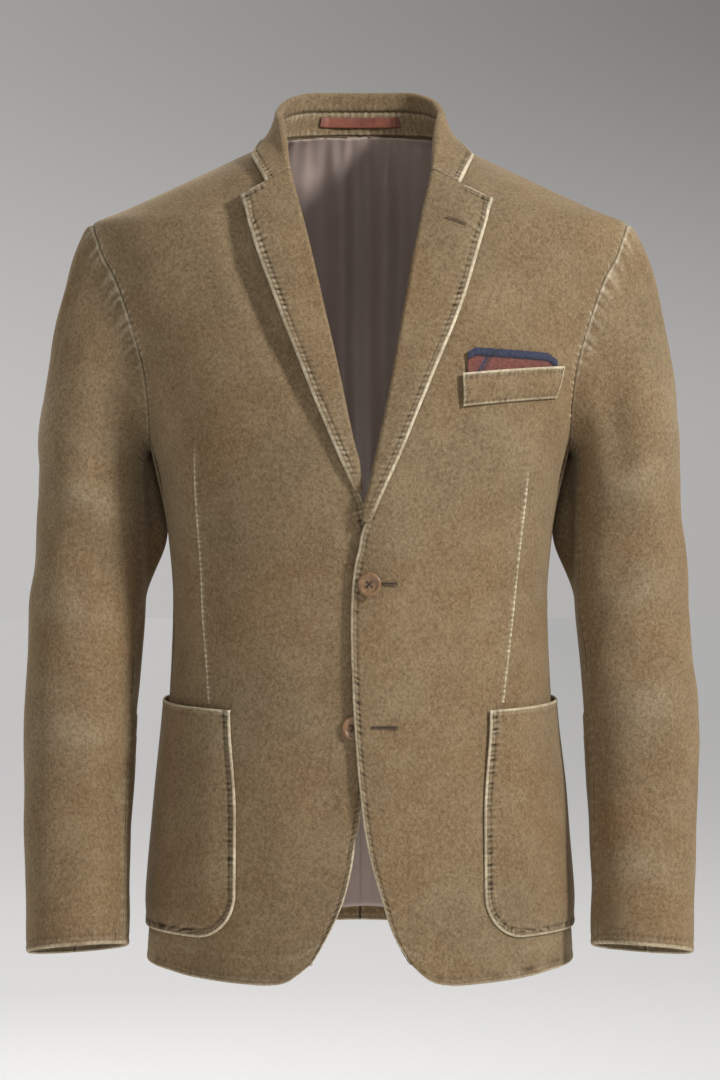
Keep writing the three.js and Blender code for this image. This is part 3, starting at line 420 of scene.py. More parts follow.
def length_table(centre):
    """Length of cloth from the centre line, for many angles on every level."""
    ends = (centre - PAST_CENTRE, 0.05) if centre < 0 else (centre + PAST_CENTRE, -0.3)
    angles = np.linspace(*ends, 600)
    points = trunk(angles[None, :], LEVELS[:, None])
    steps = np.linalg.norm(np.diff(points, axis=1), axis=-1)
    table = np.concatenate([np.zeros((len(LEVELS), 1)), np.cumsum(steps, axis=1)], axis=1)
    nearest = np.argmin(np.abs(angles - centre))
    return angles, table - table[:, nearest:nearest + 1]


LENGTHS = {centre: length_table(centre) for centre in (BREAST, SPINE)}


def row_of(w):
    return (w - LEVELS[0]) / (LEVELS[1] - LEVELS[0])


def ring_length(centre, theta, w):
    angles, table = LENGTHS[centre]
    rising = slice(None, None, 1 if angles[1] > angles[0] else -1)
    column = np.interp(theta, angles[rising], np.arange(len(angles))[rising])
    row = row_of(w)
    i, j = np.clip(row.astype(int), 0, len(LEVELS) - 2), np.clip(column.astype(int), 0, len(angles) - 2)
    a, b = row - i, column - j
    low = table[i, j] * (1 - b) + table[i, j + 1] * b
    high = table[i + 1, j] * (1 - b) + table[i + 1, j + 1] * b
    return low * (1 - a) + high * a


def ring_angle(centre, length, w):
    angles, table = LENGTHS[centre]
    row = np.clip(row_of(w), 0, len(LEVELS) - 1.001)
    level = row.astype(int)
    found = np.zeros_like(length)
    for k in np.unique(level):
        pick = level == k
        low = np.interp(length[pick], table[k], angles)
        high = np.interp(length[pick], table[k + 1], angles)
        found[pick] = low + (high - low) * (row[pick] - k)
    return found


def lengths(points):
    """The length along a run of points, from its start to each of them."""
    return np.r_[0, np.cumsum(np.linalg.norm(np.diff(points, axis=0), axis=1))]


def polyline(places, smooth=True):
    """A path through places (theta, w), read by the share of its length."""
    places = np.asarray(places, float) * (MEAN_RADIUS, 1)
    if smooth:
        places = through(places, 24 * len(places))
    run = lengths(places)

    def read(share):
        return np.stack([np.interp(share * run[-1], run, places[:, 0]) / MEAN_RADIUS,
                         np.interp(share * run[-1], run, places[:, 1])], -1)
    return read


def knots_of(points):
    """Where each row of points lies along a smooth run through them."""
    flat = np.asarray(points, float).reshape(len(points), -1)
    return np.r_[0, np.cumsum(np.sqrt(np.linalg.norm(np.diff(flat, axis=0), axis=1)) + 1e-9)]


def through(points, count=0, at=None):
    """A smooth run through rows of points: `count` rows spaced evenly, or rows at given knots."""
    points = np.asarray(points, float)
    flat = points.reshape(len(points), -1)
    knots = knots_of(points)
    gaps = np.diff(knots)
    lead, tail = 2 * flat[0] - flat[1], 2 * flat[-1] - flat[-2]
    all_points = np.vstack([lead, flat, tail])
    all_knots = np.r_[-gaps[0], knots, knots[-1] + gaps[-1]]
    at = np.linspace(0, knots[-1], count) if at is None else at
    i = np.clip(np.searchsorted(knots, at, side="right") - 1, 0, len(knots) - 2) + 1
    t0, t1, t2, t3 = (all_knots[i + k][:, None] for k in (-1, 0, 1, 2))
    p0, p1, p2, p3 = (all_points[i + k] for k in (-1, 0, 1, 2))
    t = at[:, None]
    a1 = (t1 - t) / (t1 - t0) * p0 + (t - t0) / (t1 - t0) * p1
    a2 = (t2 - t) / (t2 - t1) * p1 + (t - t1) / (t2 - t1) * p2
    a3 = (t3 - t) / (t3 - t2) * p2 + (t - t2) / (t3 - t2) * p3
    b1 = (t2 - t) / (t2 - t0) * a1 + (t - t0) / (t2 - t0) * a2
    b2 = (t3 - t) / (t3 - t1) * a2 + (t - t1) / (t3 - t1) * a3
    made = (t2 - t) / (t2 - t1) * b1 + (t - t1) / (t2 - t1) * b2
    return made.reshape((len(at),) + points.shape[1:])


def blended(left, right, bottom, top, across, up):
    """Places inside four edges of flat cloth, at shares across it and up it."""
    u, v = across[None, :, None], up[:, None, None]
    corners = ((1 - u) * bottom[0] + u * bottom[-1]) * (1 - v) + ((1 - u) * top[0] + u * top[-1]) * v
    return (1 - v) * bottom[None] + v * top[None] + (1 - u) * left[:, None] + u * right[:, None] - corners


def fill(centre, left, right, bottom, top, across, up):
    """Places inside four edges, worked out on the flat cloth. Edges are arrays of (theta, w)."""
    def flat(edge):
        return np.stack([ring_length(centre, edge[:, 0], edge[:, 1]), edge[:, 1]], -1)
    made = blended(*map(flat, (left, right, bottom, top)), across, up)
    return ring_angle(centre, made[..., 0], made[..., 1]), made[..., 1]


def graded(length, start=(), end=(), step=6.0):
    """Shares from 0 to 1 along `length`: fine gaps near the ends, and steps of `step` between."""
    first = np.cumsum(start)
    last = length - np.cumsum(end)[::-1]
    low, high = (first[-1] if len(start) else 0), (last[0] if len(end) else length)
    middle = np.linspace(low, high, max(2, int(round((high - low) / step)) + 1))
    return np.unique(np.r_[0, first, middle, last, length].round(4)) / length


# %% [markdown]
# Cloth is never quite smooth. `beats` gives the uneven ripples that a row of stitches draws up: they
# alternate, but each has its own height. `drift` is a slow wave for the lie of a panel, and `fold`
# is one soft crease between two points.

# %% Ripples, waves and folds
def between_lattice(values, x):
    k = np.floor(x).astype(int)
    t = x - k
    t = t * t * (3 - 2 * t)
    return values[k % len(values)] * (1 - t) + values[(k + 1) % len(values)] * t


def drift(x, size, seed):
    """A slow random wave along x, between -1 and 1."""
    return between_lattice(np.random.default_rng(seed).uniform(-1, 1, 997), np.asarray(x) / size)


def beats(s, pitch, seed):
    """Uneven ripples along s: one rise and one dip every two pitches."""
    heights = np.random.default_rng(seed).uniform(0.25, 1, 998) * np.tile([1, -1], 499)
    return between_lattice(heights, (s + 1.3 * drift(s, 9, seed + 1)) / pitch)


def hill(x, width):
    return np.exp(-(np.asarray(x) / width) ** 2)


def rise(x, low, high):
    """Zero below `low`, one above `high`, smooth between."""
    t = np.clip((np.asarray(x, float) - low) / (high - low), 0, 1)
    return t * t * (3 - 2 * t)


def fold(points, start, end, height, width, axes=(0, 2)):
    """A soft ridge, or a trough where the height is negative, along a line in the given view."""
    flat = points[..., list(axes)]
    a, b = np.array(start, float), np.array(end, float)
    line = b - a
    t = np.clip(((flat - a) @ line) / (line @ line), 0, 1)
    gap = np.linalg.norm(flat - (a + t[..., None] * line), axis=-1)
    return height * hill(gap, width) * np.sin(np.pi * np.clip(t, 0.03, 0.97)) ** 0.7


# %% [markdown]
# `Sheet` holds one piece of cloth as a grid of points with its normals, its distances to the four
# edges, and the two numbers that the material reads. Its methods add seams and finished edges. The
# mesh starts as a flat bmesh grid, and its points are then moved to their places on the coat.

# %% The sheet of cloth
CLOTH = 2.0
STITCH_DEPTH = 6.0
ROUND_OFF = 1.6
LEAST_CUT = 0.0105


class Sheet:
    """One piece of cloth: rows and columns of points in millimetres."""

    def __init__(self, points, outward):
        self.points = points
        normal = self.normals()
        facing = np.einsum("ijk,ijk->ij", normal, outward(points)).mean()
        if facing < 0:
            self.points = points[:, ::-1]
        self.turned = facing < 0
        points = self.points
        along = np.linalg.norm(np.diff(points, axis=0), axis=-1)
        across = np.linalg.norm(np.diff(points, axis=1), axis=-1)
        self.up = np.vstack([np.zeros(points.shape[1]), np.cumsum(along, axis=0)])
        self.run = np.hstack([np.zeros((len(points), 1)), np.cumsum(across, axis=1)])
        self.worn = np.zeros(points.shape[:2])
        # Painted shade, which the material lays into dips, grooves and seam lines
        self.painted_shade = np.zeros(points.shape[:2])
        self.lift = np.zeros(points.shape[:2])

    def normals(self):
        return unit(np.cross(np.gradient(self.points, axis=1), np.gradient(self.points, axis=0)))

    def edge(self, name):
        """Distance from an edge, and the length along it."""
        if self.turned and name in ("left", "right"):
            name = {"left": "right", "right": "left"}[name]
        if name == "left":
            return self.run, np.broadcast_to(self.up[:, :1], self.up.shape)
        if name == "right":
            return self.run[:, -1:] - self.run, np.broadcast_to(self.up[:, -1:], self.up.shape)
        if name == "bottom":
            return self.up, np.broadcast_to(self.run[:1], self.run.shape)
        return self.up[-1:] - self.up, np.broadcast_to(self.run[-1:], self.run.shape)

    def finished(self, name, seed, strength=1.0, where=1.0, stitch=STITCH_DEPTH, pale=1.0):
        """A turned and stitched edge: round, puckered and worn, with painted shade in its pucker dips and
        stitch groove.
        """
        d, s = self.edge(name) if isinstance(name, str) else name
        inside = np.clip(1 - d / ROUND_OFF, 0, 1)
        self.lift -= (1 - np.sqrt(1 - inside ** 2)) * ROUND_OFF * 0.7 * where
        wave = beats(s, 2.5, seed)
        loose = 0.6 + 0.4 * drift(s, 30, seed + 5)
        band = hill(d - stitch * 0.62, stitch * 0.42) + 0.4 * hill(d - stitch - 3, 3.2)
        groove = hill(d - stitch, 1.0)
        welt = hill(d - 2.0, 1.6)
        self.lift += where * strength * (0.5 * wave * loose * band - 0.7 * groove + 0.4 * welt)
        ridge = np.clip(wave, 0, 1) * band
        dip = np.clip(-wave, 0, 1)
        rub = 0.75 + 0.25 * drift(s, 12, seed + 7)
        self.worn += where * pale * (rub * (1 - rise(d, 1.2, 2.6)) + 0.5 * strength * ridge * loose
                                     + 0.2 * rub * hill(d - stitch + 2.2, 0.9))
        # Painted shade in the pucker dips, the stitch groove and the groove beside the edge
        self.painted_shade += where * strength * (1.3 * dip * hill(d - stitch + 0.4, 1.9) * loose + 0.28 * groove
                                        + 0.25 * dip * band + 0.3 * hill(d - 3.1, 0.7))

    def seam(self, name, seed, strength=0.6, where=1.0, depth=0.9, pale=0.5):
        """A plain seam: the edge dips into it, the stitches draw it up, and painted shade lies in its dips.
        """
        d, s = self.edge(name)
        wave = beats(s, 3.1, seed)
        band = hill(d - 1.5, 5.5)
        self.lift += where * (strength * 0.45 * wave * band - depth * hill(d, 1.5))
        self.worn += where * pale * strength * (np.clip(wave, 0, 1) * hill(d - 3, 4)
                                                + 0.45 * hill(d - 1.6, 0.9))
        # Painted shade along the seam line and in the dips of its puckers
        self.painted_shade += where * (0.5 * hill(d, 0.9) + 0.22 * strength * np.clip(-wave, 0, 1) * hill(d - 2, 2.5))

    def crease(self, start, end, height, width, axes=(0, 2), pale=0.0, where=1.0):
        made = fold(self.points, start, end, height, width, axes) * where
        self.lift += made
        if height > 0 and pale:
            self.worn += pale * made / height

    def lie(self, size, height, seed, held=True):
        """The slow unevenness of cloth that has been washed and worn; `held` at its edges or not."""
        x, y, z = np.moveaxis(self.points, -1, 0)
        around = np.arctan2(y - SHOULDER_Y, x) * MEAN_RADIUS
        inside = np.minimum(np.minimum(self.run, self.run[:, -1:] - self.run),
                            np.minimum(self.up, self.up[-1:] - self.up))
        free = rise(inside, 2, 45) if held else 1.0
        self.lift += free * height * (0.6 * drift(around + 0.35 * z, size, seed)
                                      + 0.4 * drift(z - 0.5 * around, size * 1.4, seed + 1))

    def placed(self):
        return self.points + self.normals() * self.lift[..., None]


PIECES = {}


def grid_mesh(name, columns, rows):
    """A flat mesh grid from bmesh, with the column and row of each of its points."""
    bm = bmesh.new()
    bmesh.ops.create_grid(bm, x_segments=columns - 1, y_segments=rows - 1, size=1)
    mesh = mesh_from(bm, name)
    flat = np.empty(len(mesh.vertices) * 3, np.float32)
    mesh.vertices.foreach_get("co", flat)
    flat = flat.reshape(-1, 3)
    i = np.rint((flat[:, 1] + 1) / 2 * (rows - 1)).astype(int)
    j = np.rint((flat[:, 0] + 1) / 2 * (columns - 1)).astype(int)
    return mesh, i, j


def add_piece(name, mesh, nodes=()):
    """Links a finished mesh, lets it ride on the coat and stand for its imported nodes."""
    made = bpy.data.objects.new(name, mesh)
    scene.collection.objects.link(made)
    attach(made, "root")
    if nodes:
        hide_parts(*nodes)
    PIECES[name] = made
    return made


def cloth_piece(name, sheet, side, nodes, finish=None, thick=CLOTH, offset=-1.0):
    """Turns a sheet into a mesh with thickness, on the wearer's left (1) or right (-1) side."""
    points = sheet.placed()
    worn, painted_shade, run, up = sheet.worn, sheet.painted_shade, sheet.run, sheet.up
    if side < 0:
        points = points[:, ::-1] * (-1, 1, 1)
        worn, painted_shade, run, up = (each[:, ::-1] for each in (worn, painted_shade, run, up))
    rows, columns = points.shape[:2]
    mesh, i, j = grid_mesh(name, columns, rows)
    mesh.vertices.foreach_set("co", (points[i, j] * MM).astype(np.float32).ravel())
    # The wear and the painted shade go on the mesh as two numbers
    for key, values in (("worn", worn), ("painted_shade", painted_shade)):
        layer = mesh.attributes.new(key, "FLOAT", "POINT")
        layer.data.foreach_set("value", np.clip(values[i, j], 0, 1).astype(np.float32))
    corner = np.empty(len(mesh.loops), np.int32)
    mesh.loops.foreach_get("vertex_index", corner)
    flat_place = np.stack([run[i, j], up[i, j]], -1)[corner] * MM
    mesh.uv_layers.new(name="cut").data.foreach_set("uv", flat_place.astype(np.float32).ravel())
    mesh.polygons.foreach_set("use_smooth", np.ones(len(mesh.polygons), bool))
    mesh.materials.append(finish or CLOTH_MATERIAL)
    mesh.update()
    made = add_piece(name, mesh, nodes)
    wall = made.modifiers.new("wall", "SOLIDIFY")
    wall.thickness = thick * MM
    wall.offset = offset
    wall.use_even_offset = False
    declare(made, sheet)
    return made


def declare(made, sheet):
    """States the flat cut of what shows: its width, its length and its area."""
    points = sheet.points
    a, b = points[1:, 1:] - points[:-1, :-1], points[1:, :-1] - points[:-1, 1:]
    cut = (sheet.run[:, -1].max() * MM, max(sheet.up[-1].max() * MM, LEAST_CUT))
    area = min(np.linalg.norm(np.cross(a, b), axis=-1).sum() / 2 * MM * MM, cut[0] * cut[1])
    print(f"{made.name}: cut {cut[0]:.3f} x {cut[1]:.3f} m, area {area:.4f} m2")


# %% [markdown]
# The two fronts differ: the left one lies on top, and its lapel is wider, because the coat is pulled
# a little to that side. Their outlines are short tables of x measured from the centre towards their
# own side. The right front is made like a left one and mirrored at the end.

# %% Outlines of the fronts
SIDES = {
    "left": {
        "sign": 1, "proud": 7, "first_fold": -350,
        "edge": named("z x", [
            (-718, 41), (-701.5, 30.6), (-684, 23.2), (-663, 17.2), (-644, 11.3), (-621.6, 6.1),
            (-599, 2.4), (-549, -2.7), (-494, -6.2), (-424, -7.5), (-388, -4.7), (-363, 1.2)]),
        "roll": named("z x", [
            (-363, 1.2), (-338.5, 3.3), (-321.8, 7.4), (-293.9, 13.8), (-232.4, 26.6),
            (-164, 38.7), (-129, 44.9), (-54, 60.4)]),
        "lapel": named("z x", [
            (-363, 2.3), (-345, 10), (-327, 17.6), (-294, 32.9), (-252, 50),
            (-164.8, 85.7), (-126.7, 97.2), (-78.8, 111.6)]),
        "notch": (84.7, -62.7), "tip": (96.8, -35.3)},
    "right": {
        "sign": -1, "proud": 0, "first_fold": -325,
        "edge": named("z x", [
            (-719, 39.6), (-702, 29.5), (-682, 19.5), (-664, 12.5), (-639.7, 6.7), (-614.6, 2.8),
            (-603, 0), (-529, -10), (-470, -17), (-402, -21), (-370, -12), (-338.5, -2.9)]),
        "roll": named("z x", [
            (-338.5, -2.9), (-327, -1.4), (-302.6, 0.9), (-282.6, 6), (-232.4, 16.6),
            (-164.3, 31.9), (-129, 40.1), (-53.7, 59)]),
        "lapel": named("z x", [
            (-337.4, -2), (-310.6, 10.4), (-278.5, 24.5), (-232.6, 43.6), (-190.4, 60.5),
            (-164.8, 70), (-121.8, 85.9), (-75.4, 100)]),
        "notch": (79.3, -62), "tip": (92.3, -35)},
}
FRONT_HEM = [(52.5, -729.8), (63, -736.5), (78, -739), (100, -738.6), (123.6, -737.4), (147, -735.6),
             (164, -733.5)]
SIDE_SEAMS = named("w front back", [
    (-770, -0.2, 0.62), (-419, -0.22, 0.62), (-330, -0.22, 0.52), (-262, -0.22, 0.4)])
HEM = named("theta w", [(-0.2, -732), (0.2, -729), (0.62, -723), (1.1, -718), (SPINE, -716)])
FRONT_SEAM, BACK_SEAM = (curve(SIDE_SEAMS["w"], SIDE_SEAMS[key]) for key in ("front", "back"))
HEM_HEIGHT = curve(HEM["theta"], HEM["w"])
ARMHOLE = {"w": -189, "half": 96, "front": 0.47, "back": 0.54, "top": 4, "bottom": 2.3}
SHARES = {"break": 0.44, "underarm": 0.6, "gorge": 0.86}
CHEST_Z = -272
FOLD_REACH, FOLD_SHARE, FOLD_RADIUS_SHARE, LEAST_FOLD = 5.6, 0.45, 0.46, 1.3


def armhole(turn):
    """The armhole's edge: turn 0 is the shoulder point, and it grows round the front."""
    turn = np.asarray(turn, float)
    upper = np.abs(turn) < np.pi / 2
    up_top, side_top = swell(turn, ARMHOLE["top"])
    up_low, side_low = swell(turn, ARMHOLE["bottom"])
    up, across = np.where(upper, up_top, up_low), np.where(upper, side_top, side_low)
    reach = np.where(across > 0, ARMHOLE["front"], ARMHOLE["back"])
    return np.stack([-across * reach, ARMHOLE["w"] + ARMHOLE["half"] * up], -1)


def armhole_corner(theta):
    """The turn at which the armhole meets a side seam."""
    reach = ARMHOLE["front"] if theta < 0 else ARMHOLE["back"]
    across = abs(theta) / reach
    up = (1 - across ** ARMHOLE["bottom"]) ** (1 / ARMHOLE["bottom"])
    return -math.copysign(math.pi - math.atan2(across, up), theta)


FRONT_CORNER, BACK_CORNER = armhole_corner(-0.22), armhole_corner(0.4)


def armhole_run(start, end):
    """A path along the armhole, read by the share of its length."""
    return polyline(armhole(np.linspace(start, end, 200)), smooth=False)


ARM_FRONT = armhole_run(0, FRONT_CORNER)
ARM_UNDER = armhole_run(FRONT_CORNER, BACK_CORNER + 2 * math.pi)
ARM_BACK = armhole_run(BACK_CORNER, 0)


def side_seam(seam, top, first_fold, up):
    """Places up a side seam, for shares of the panel's height up to the underarm."""
    bottom = HEM_HEIGHT(float(seam(-727)))
    w = np.interp(up, [0, SHARES["break"], SHARES["underarm"]], [bottom, first_fold, top])
    return np.stack([seam(w), w], -1)


def lay_off(side, x, w):
    """How far the left front stands over the right one, where they cross."""
    return side["proud"] * (1 - rise(x, 12, 74)) * (1 - rise(w, -330, -240))


# %% [markdown]
# ## The fronts
# A front's free edge runs up from the hem, round the break of the lapel and under its fold. The
# lapel itself is sewn on there as its own piece. A dart runs from the chest to the patch pocket, and
# the hem is turned up 26 mm.

# %% Front panels
def outward_front(p):
    return np.broadcast_to(np.array([0.0, -1.0, 0.0]), p.shape)


def fold_at(side, z):
    """How a lapel folds at given heights: its roll, its outer edge, its reach and its radius."""
    roll = curve(side["roll"]["z"], side["roll"]["x"])(z)
    edge = curve(side["lapel"]["z"], side["lapel"]["x"])(z)
    reach = np.minimum(FOLD_REACH, FOLD_SHARE * (edge - roll))
    return roll, edge, reach, np.maximum(LEAST_FOLD, FOLD_RADIUS_SHARE * reach)


def neck_front(side):
    """The seam from the gorge to the neck point."""
    x, z = side["roll"]["x"][-1] + FOLD_REACH, side["roll"]["z"][-1]
    theta, w = on_front(x, z)
    return polyline([(float(theta), float(w)), (-0.75, 72), (-0.35, 86), (0, NECK_W)])


def front_edge(side, up):
    """The front's free edge, for shares of the panel's height."""
    z_edge = side["edge"]["z"]
    first = side["first_fold"]
    below = [first - 22, first - 9]
    zs = np.r_[z_edge[z_edge < below[0] - 12], below]
    xs = curve(z_edge, side["edge"]["x"])(zs)
    roll, _, reach, _ = fold_at(side, first)
    lower = polyline(np.stack(on_front(np.r_[xs, roll + reach], np.r_[zs, first]), -1))
    made = np.zeros((len(up), 2))
    low = up <= SHARES["break"]
    made[low] = lower(up[low] / SHARES["break"])
    middle = (up > SHARES["break"]) & (up <= SHARES["gorge"])
    z = np.interp(up[middle], [SHARES["break"], SHARES["underarm"], SHARES["gorge"]],
                  [first, CHEST_Z, side["roll"]["z"][-1]])
    roll, _, reach, _ = fold_at(side, z)
    made[middle] = np.stack(on_front(roll + reach, z), -1)
    high = up > SHARES["gorge"]
    made[high] = neck_front(side)((up[high] - SHARES["gorge"]) / (1 - SHARES["gorge"]))
    return made


def panel_right(seam, arm, first_fold, up, arm_start):
    """The side seam and the armhole, as the far edge of a panel."""
    made = np.zeros((len(up), 2))
    low = up <= SHARES["underarm"]
    made[low] = side_seam(seam, arm_start[1], first_fold, up[low])
    made[~low] = arm((up[~low] - SHARES["underarm"]) / (1 - SHARES["underarm"]))
    return made


FINE_EDGE = (0.35, 0.5, 0.65, 0.8, 0.9, 1.0, 1.1, 1.2, 1.3, 1.5, 1.8, 2.4, 3.2, 4.5)
TURN_UP = 26
HEM_EDGE = (0.4, 0.6, 0.8, 1.0, 1.2, 1.4, 1.4, 1.4, 1.5, 1.8, 2.2, 2.8, 3.5, 3.0, 2.0, 2.0, 3.0)


def front_sheet(name, side):
    up = graded(790, HEM_EDGE, (0.6, 1.0, 1.4, 2.0), 1.5)
    across = graded(235, FINE_EDGE, (0.6, 0.8, 1.0, 1.2, 1.6, 2.4, 3.4), 6.5)
    left = front_edge(side, up)
    right = panel_right(FRONT_SEAM, lambda share: ARM_FRONT(1 - share), side["first_fold"], up,
                        ARM_FRONT(np.array([1.0]))[0])
    hem_places = [left[0]] + [tuple(map(float, on_front(x, z))) for x, z in FRONT_HEM] + [right[0]]
    bottom = polyline(hem_places)(across)
    top = np.stack([np.zeros(len(across)), NECK_W + (SHOULDER_W - NECK_W) * across], -1)
    theta, w = fill(BREAST, left, right, bottom, top, across, up)
    x = trunk(theta, w)[..., 0]
    sheet = Sheet(on_trunk(theta, w, lay_off(side, x, w)), from_axis)
    free = 1 - rise(up, SHARES["break"] - 0.02, SHARES["break"] + 0.03)[:, None]
    sheet.finished("left", 11 + side["sign"], 1.0, free, pale=0.95)
    sheet.finished("bottom", 21 + side["sign"], 0.55, 1.0, stitch=7, pale=0.5)
    arm_part = rise(up, SHARES["underarm"], SHARES["underarm"] + 0.02)[:, None]
    sheet.seam("right", 31 + side["sign"], 1.0, arm_part, 1.4, 0.5)
    sheet.seam("right", 41 + side["sign"], 0.35, 1 - arm_part, 0.7, 0.3)
    sheet.seam("top", 51 + side["sign"], 0.4, 1.0, 0.6, 0.25)
    d_hem, s_hem = sheet.edge("bottom")
    sheet.lift += -0.4 * hill(d_hem - TURN_UP, 1.8) + 0.25 * hill(d_hem - TURN_UP + 4, 2.5)
    sheet.worn += 0.16 * hill(d_hem - TURN_UP + 2, 1.6) * (0.5 + 0.5 * drift(s_hem, 14, 5))
    sheet.lie(95, 2.0, 60 + side["sign"])
    front_folds(sheet, side)
    return sheet


DARTS = {1: ((142, -300), (122, -504)), -1: ((140, -280), (128, -505))}
DART_HALF = 4.2
CREASES = {
    1: [((168, -408), (156, -436), 1.6, 9), ((150, -250), (182, -330), -2.6, 16),
        ((120, -260), (160, -370), 1.5, 20), ((30, -330), (95, -385), 1.3, 17),
        ((20, -420), (120, -395), -1.5, 22), ((80, -120), (190, -190), -2.0, 22),
        ((150, -95), (205, -215), 1.8, 16), ((60, -560), (75, -700), 1.4, 26)],
    -1: [((122, -58), (66, -225), -5.2, 14), ((90, -140), (44, -262), -3.2, 10),
         ((30, -400), (28, -600), -1.8, 12), ((146, -395), (136, -455), 1.5, 10),
         ((160, -430), (140, -500), -1.7, 13),
         ((150, -250), (182, -330), -2.6, 16), ((110, -250), (158, -380), 1.6, 20),
         ((20, -370), (110, -410), -1.5, 22), ((80, -120), (190, -180), -2.2, 24),
         ((155, -95), (208, -215), 1.8, 16), ((55, -540), (70, -700), 1.6, 28)],
}


def front_folds(sheet, side):
    """The soft creases of one front."""
    for start, end, height, width in CREASES[side["sign"]]:
        sheet.crease(start, end, height, width)


def dart_sheet(side):
    """The dart's sewn ridge: a narrow strip that fades into the front on both sides."""
    start, end = DARTS[side["sign"]]
    t = graded(start[1] - end[1], (), (), 0.8)[:, None]
    across = np.linspace(-DART_HALF, DART_HALF, 29)[None]
    x = start[0] + (end[0] - start[0]) * t + across + 1.2 * np.sin(3.0 * t)
    z = start[1] + (end[1] - start[1]) * t + 0 * across
    theta, w = on_front(x, z)
    sheet = Sheet(on_trunk(theta, w, lay_off(side, x, w)), outward_front)
    sheet.lie(95, 2.0, 60 + side["sign"], held=False)
    front_folds(sheet, side)
    d = across + 0 * z
    d = -d if sheet.turned else d
    wave = beats(start[1] - z, 2.3, 71 + side["sign"])
    ends = rise(t, 0, 0.12)
    sheet.lift += 0.45 * ends * hill(d, 0.9) - 0.5 * hill(d - 2.0, 0.8) * ends + 0.22 * wave * hill(d, 2.6)
    sheet.lift += 0.12 - 0.9 * rise(np.abs(d), DART_HALF - 1.6, DART_HALF)
    sheet.worn += ends * (0.75 * hill(d, 0.75) * (0.75 + 0.25 * wave)
                          + 0.4 * np.clip(wave, 0, 1) * hill(d + 0.6, 2.0))
    # Painted shade in the groove beside the dart's ridge and in its pucker dips
    sheet.painted_shade += ends * (0.55 * hill(d - 1.5, 0.6) + 0.25 * np.clip(-wave, 0, 1) * hill(d, 2.2))
    return sheet


for key, side in SIDES.items():
    cloth_piece(f"front_{key}_cloth", front_sheet(key, side), side["sign"], [f"front_{key}"])
    cloth_piece(f"front_{key}_dart", dart_sheet(side), side["sign"], (), thick=0.8)

# %% [markdown]
# ## Back and side bodies
# The back is two panels joined down the spine, and the underarm side body is a narrow panel between
# back and front. Both end in the same turned hem.

# %% Back and side panels
SPINE_BREAK = -255
NECK_SHARE = 0.38
BACK_CREASES = [((25, -60), (150, -110), 1.6, 20), ((120, -140), (178, -260), -2.4, 18),
                ((60, -380), (150, -330), 2.0, 20), ((30, -420), (150, -400), -1.8, 20),
                ((70, -480), (150, -520), 1.3, 26), ((40, -560), (60, -700), 1.6, 30)]


def back_sheet(side):
    up = graded(800, HEM_EDGE, (0.6, 1.0, 1.4, 2.0), 3.2)
    across = graded(230, (0.5, 0.8, 1.1, 1.5, 2.0, 3.0), (0.6, 0.8, 1.0, 1.3, 1.8, 2.6), 6.0)
    spine_w = np.interp(up, [0, SHARES["underarm"], 1], [HEM_HEIGHT(SPINE), SPINE_BREAK, NECK_W])
    left = np.stack([np.full(len(up), SPINE), spine_w], -1)
    right = panel_right(BACK_SEAM, ARM_BACK, SIDES["left"]["first_fold"], up, ARM_BACK(np.array([0.0]))[0])
    theta = SPINE + (right[0, 0] - SPINE) * across
    bottom = np.stack([theta, HEM_HEIGHT(theta)], -1)
    neck = across <= NECK_SHARE
    top = np.stack([np.where(neck, SPINE * (1 - across / NECK_SHARE), 0),
                    np.where(neck, NECK_W, NECK_W + (SHOULDER_W - NECK_W)
                             * (across - NECK_SHARE) / (1 - NECK_SHARE))], -1)
    theta, w = fill(SPINE, left, right, bottom, top, across, up)
    sheet = Sheet(on_trunk(theta, w, np.zeros(theta.shape)), from_axis)
    arm_part = rise(up, SHARES["underarm"], SHARES["underarm"] + 0.02)[:, None]
    sheet.seam("left", 81, 0.5, 1.0, 0.8, 0.4)
    sheet.seam("right", 82, 1.0, arm_part, 1.4, 0.5)
    sheet.seam("right", 83, 0.4, 1 - arm_part, 0.7, 0.35)
    sheet.seam("top", 84, 0.45, 1.0, 0.6, 0.3)
    sheet.finished("bottom", 85, 0.5, 1.0, stitch=7, pale=0.5)
    sheet.lie(110, 2.4, 90 + side["sign"])
    for start, end, height, width in BACK_CREASES:
        sheet.crease(start, end, height, width)
    return sheet


def side_sheet(side):
    up = graded(460, HEM_EDGE, (0.6, 0.8, 1.0, 1.4, 2.0), 3.4)
    across = graded(140, (0.6, 0.9, 1.3, 2.0), (0.6, 0.9, 1.3, 2.0), 8)
    height = up * SHARES["underarm"]
    left = side_seam(FRONT_SEAM, ARM_FRONT(np.array([1.0]))[0][1], side["first_fold"], height)
    right = side_seam(BACK_SEAM, ARM_BACK(np.array([0.0]))[0][1], SIDES["left"]["first_fold"], height)
    theta = left[0, 0] + (right[0, 0] - left[0, 0]) * across
    bottom = np.stack([theta, HEM_HEIGHT(theta)], -1)
    places = blended(left, right, bottom, ARM_UNDER(across), across, up)
    sheet = Sheet(on_trunk(places[..., 0], places[..., 1], np.zeros(places.shape[:2])), from_axis)
    sheet.seam("left", 41 + side["sign"], 0.35, 1.0, 0.7, 0.3)
    sheet.seam("right", 83, 0.4, 1.0, 0.7, 0.35)
    sheet.seam("top", 87, 0.8, 1.0, 1.2, 0.4)
    sheet.finished("bottom", 86, 0.5, 1.0, stitch=7, pale=0.5)
    sheet.lie(80, 1.4, 95 + side["sign"])
    return sheet


for key, side in SIDES.items():
    cloth_piece(f"back_{key}_cloth", back_sheet(side), side["sign"], [f"back_{key}"])
    cloth_piece(f"side_{key}_cloth", side_sheet(side), side["sign"], [f"side_{key}"])

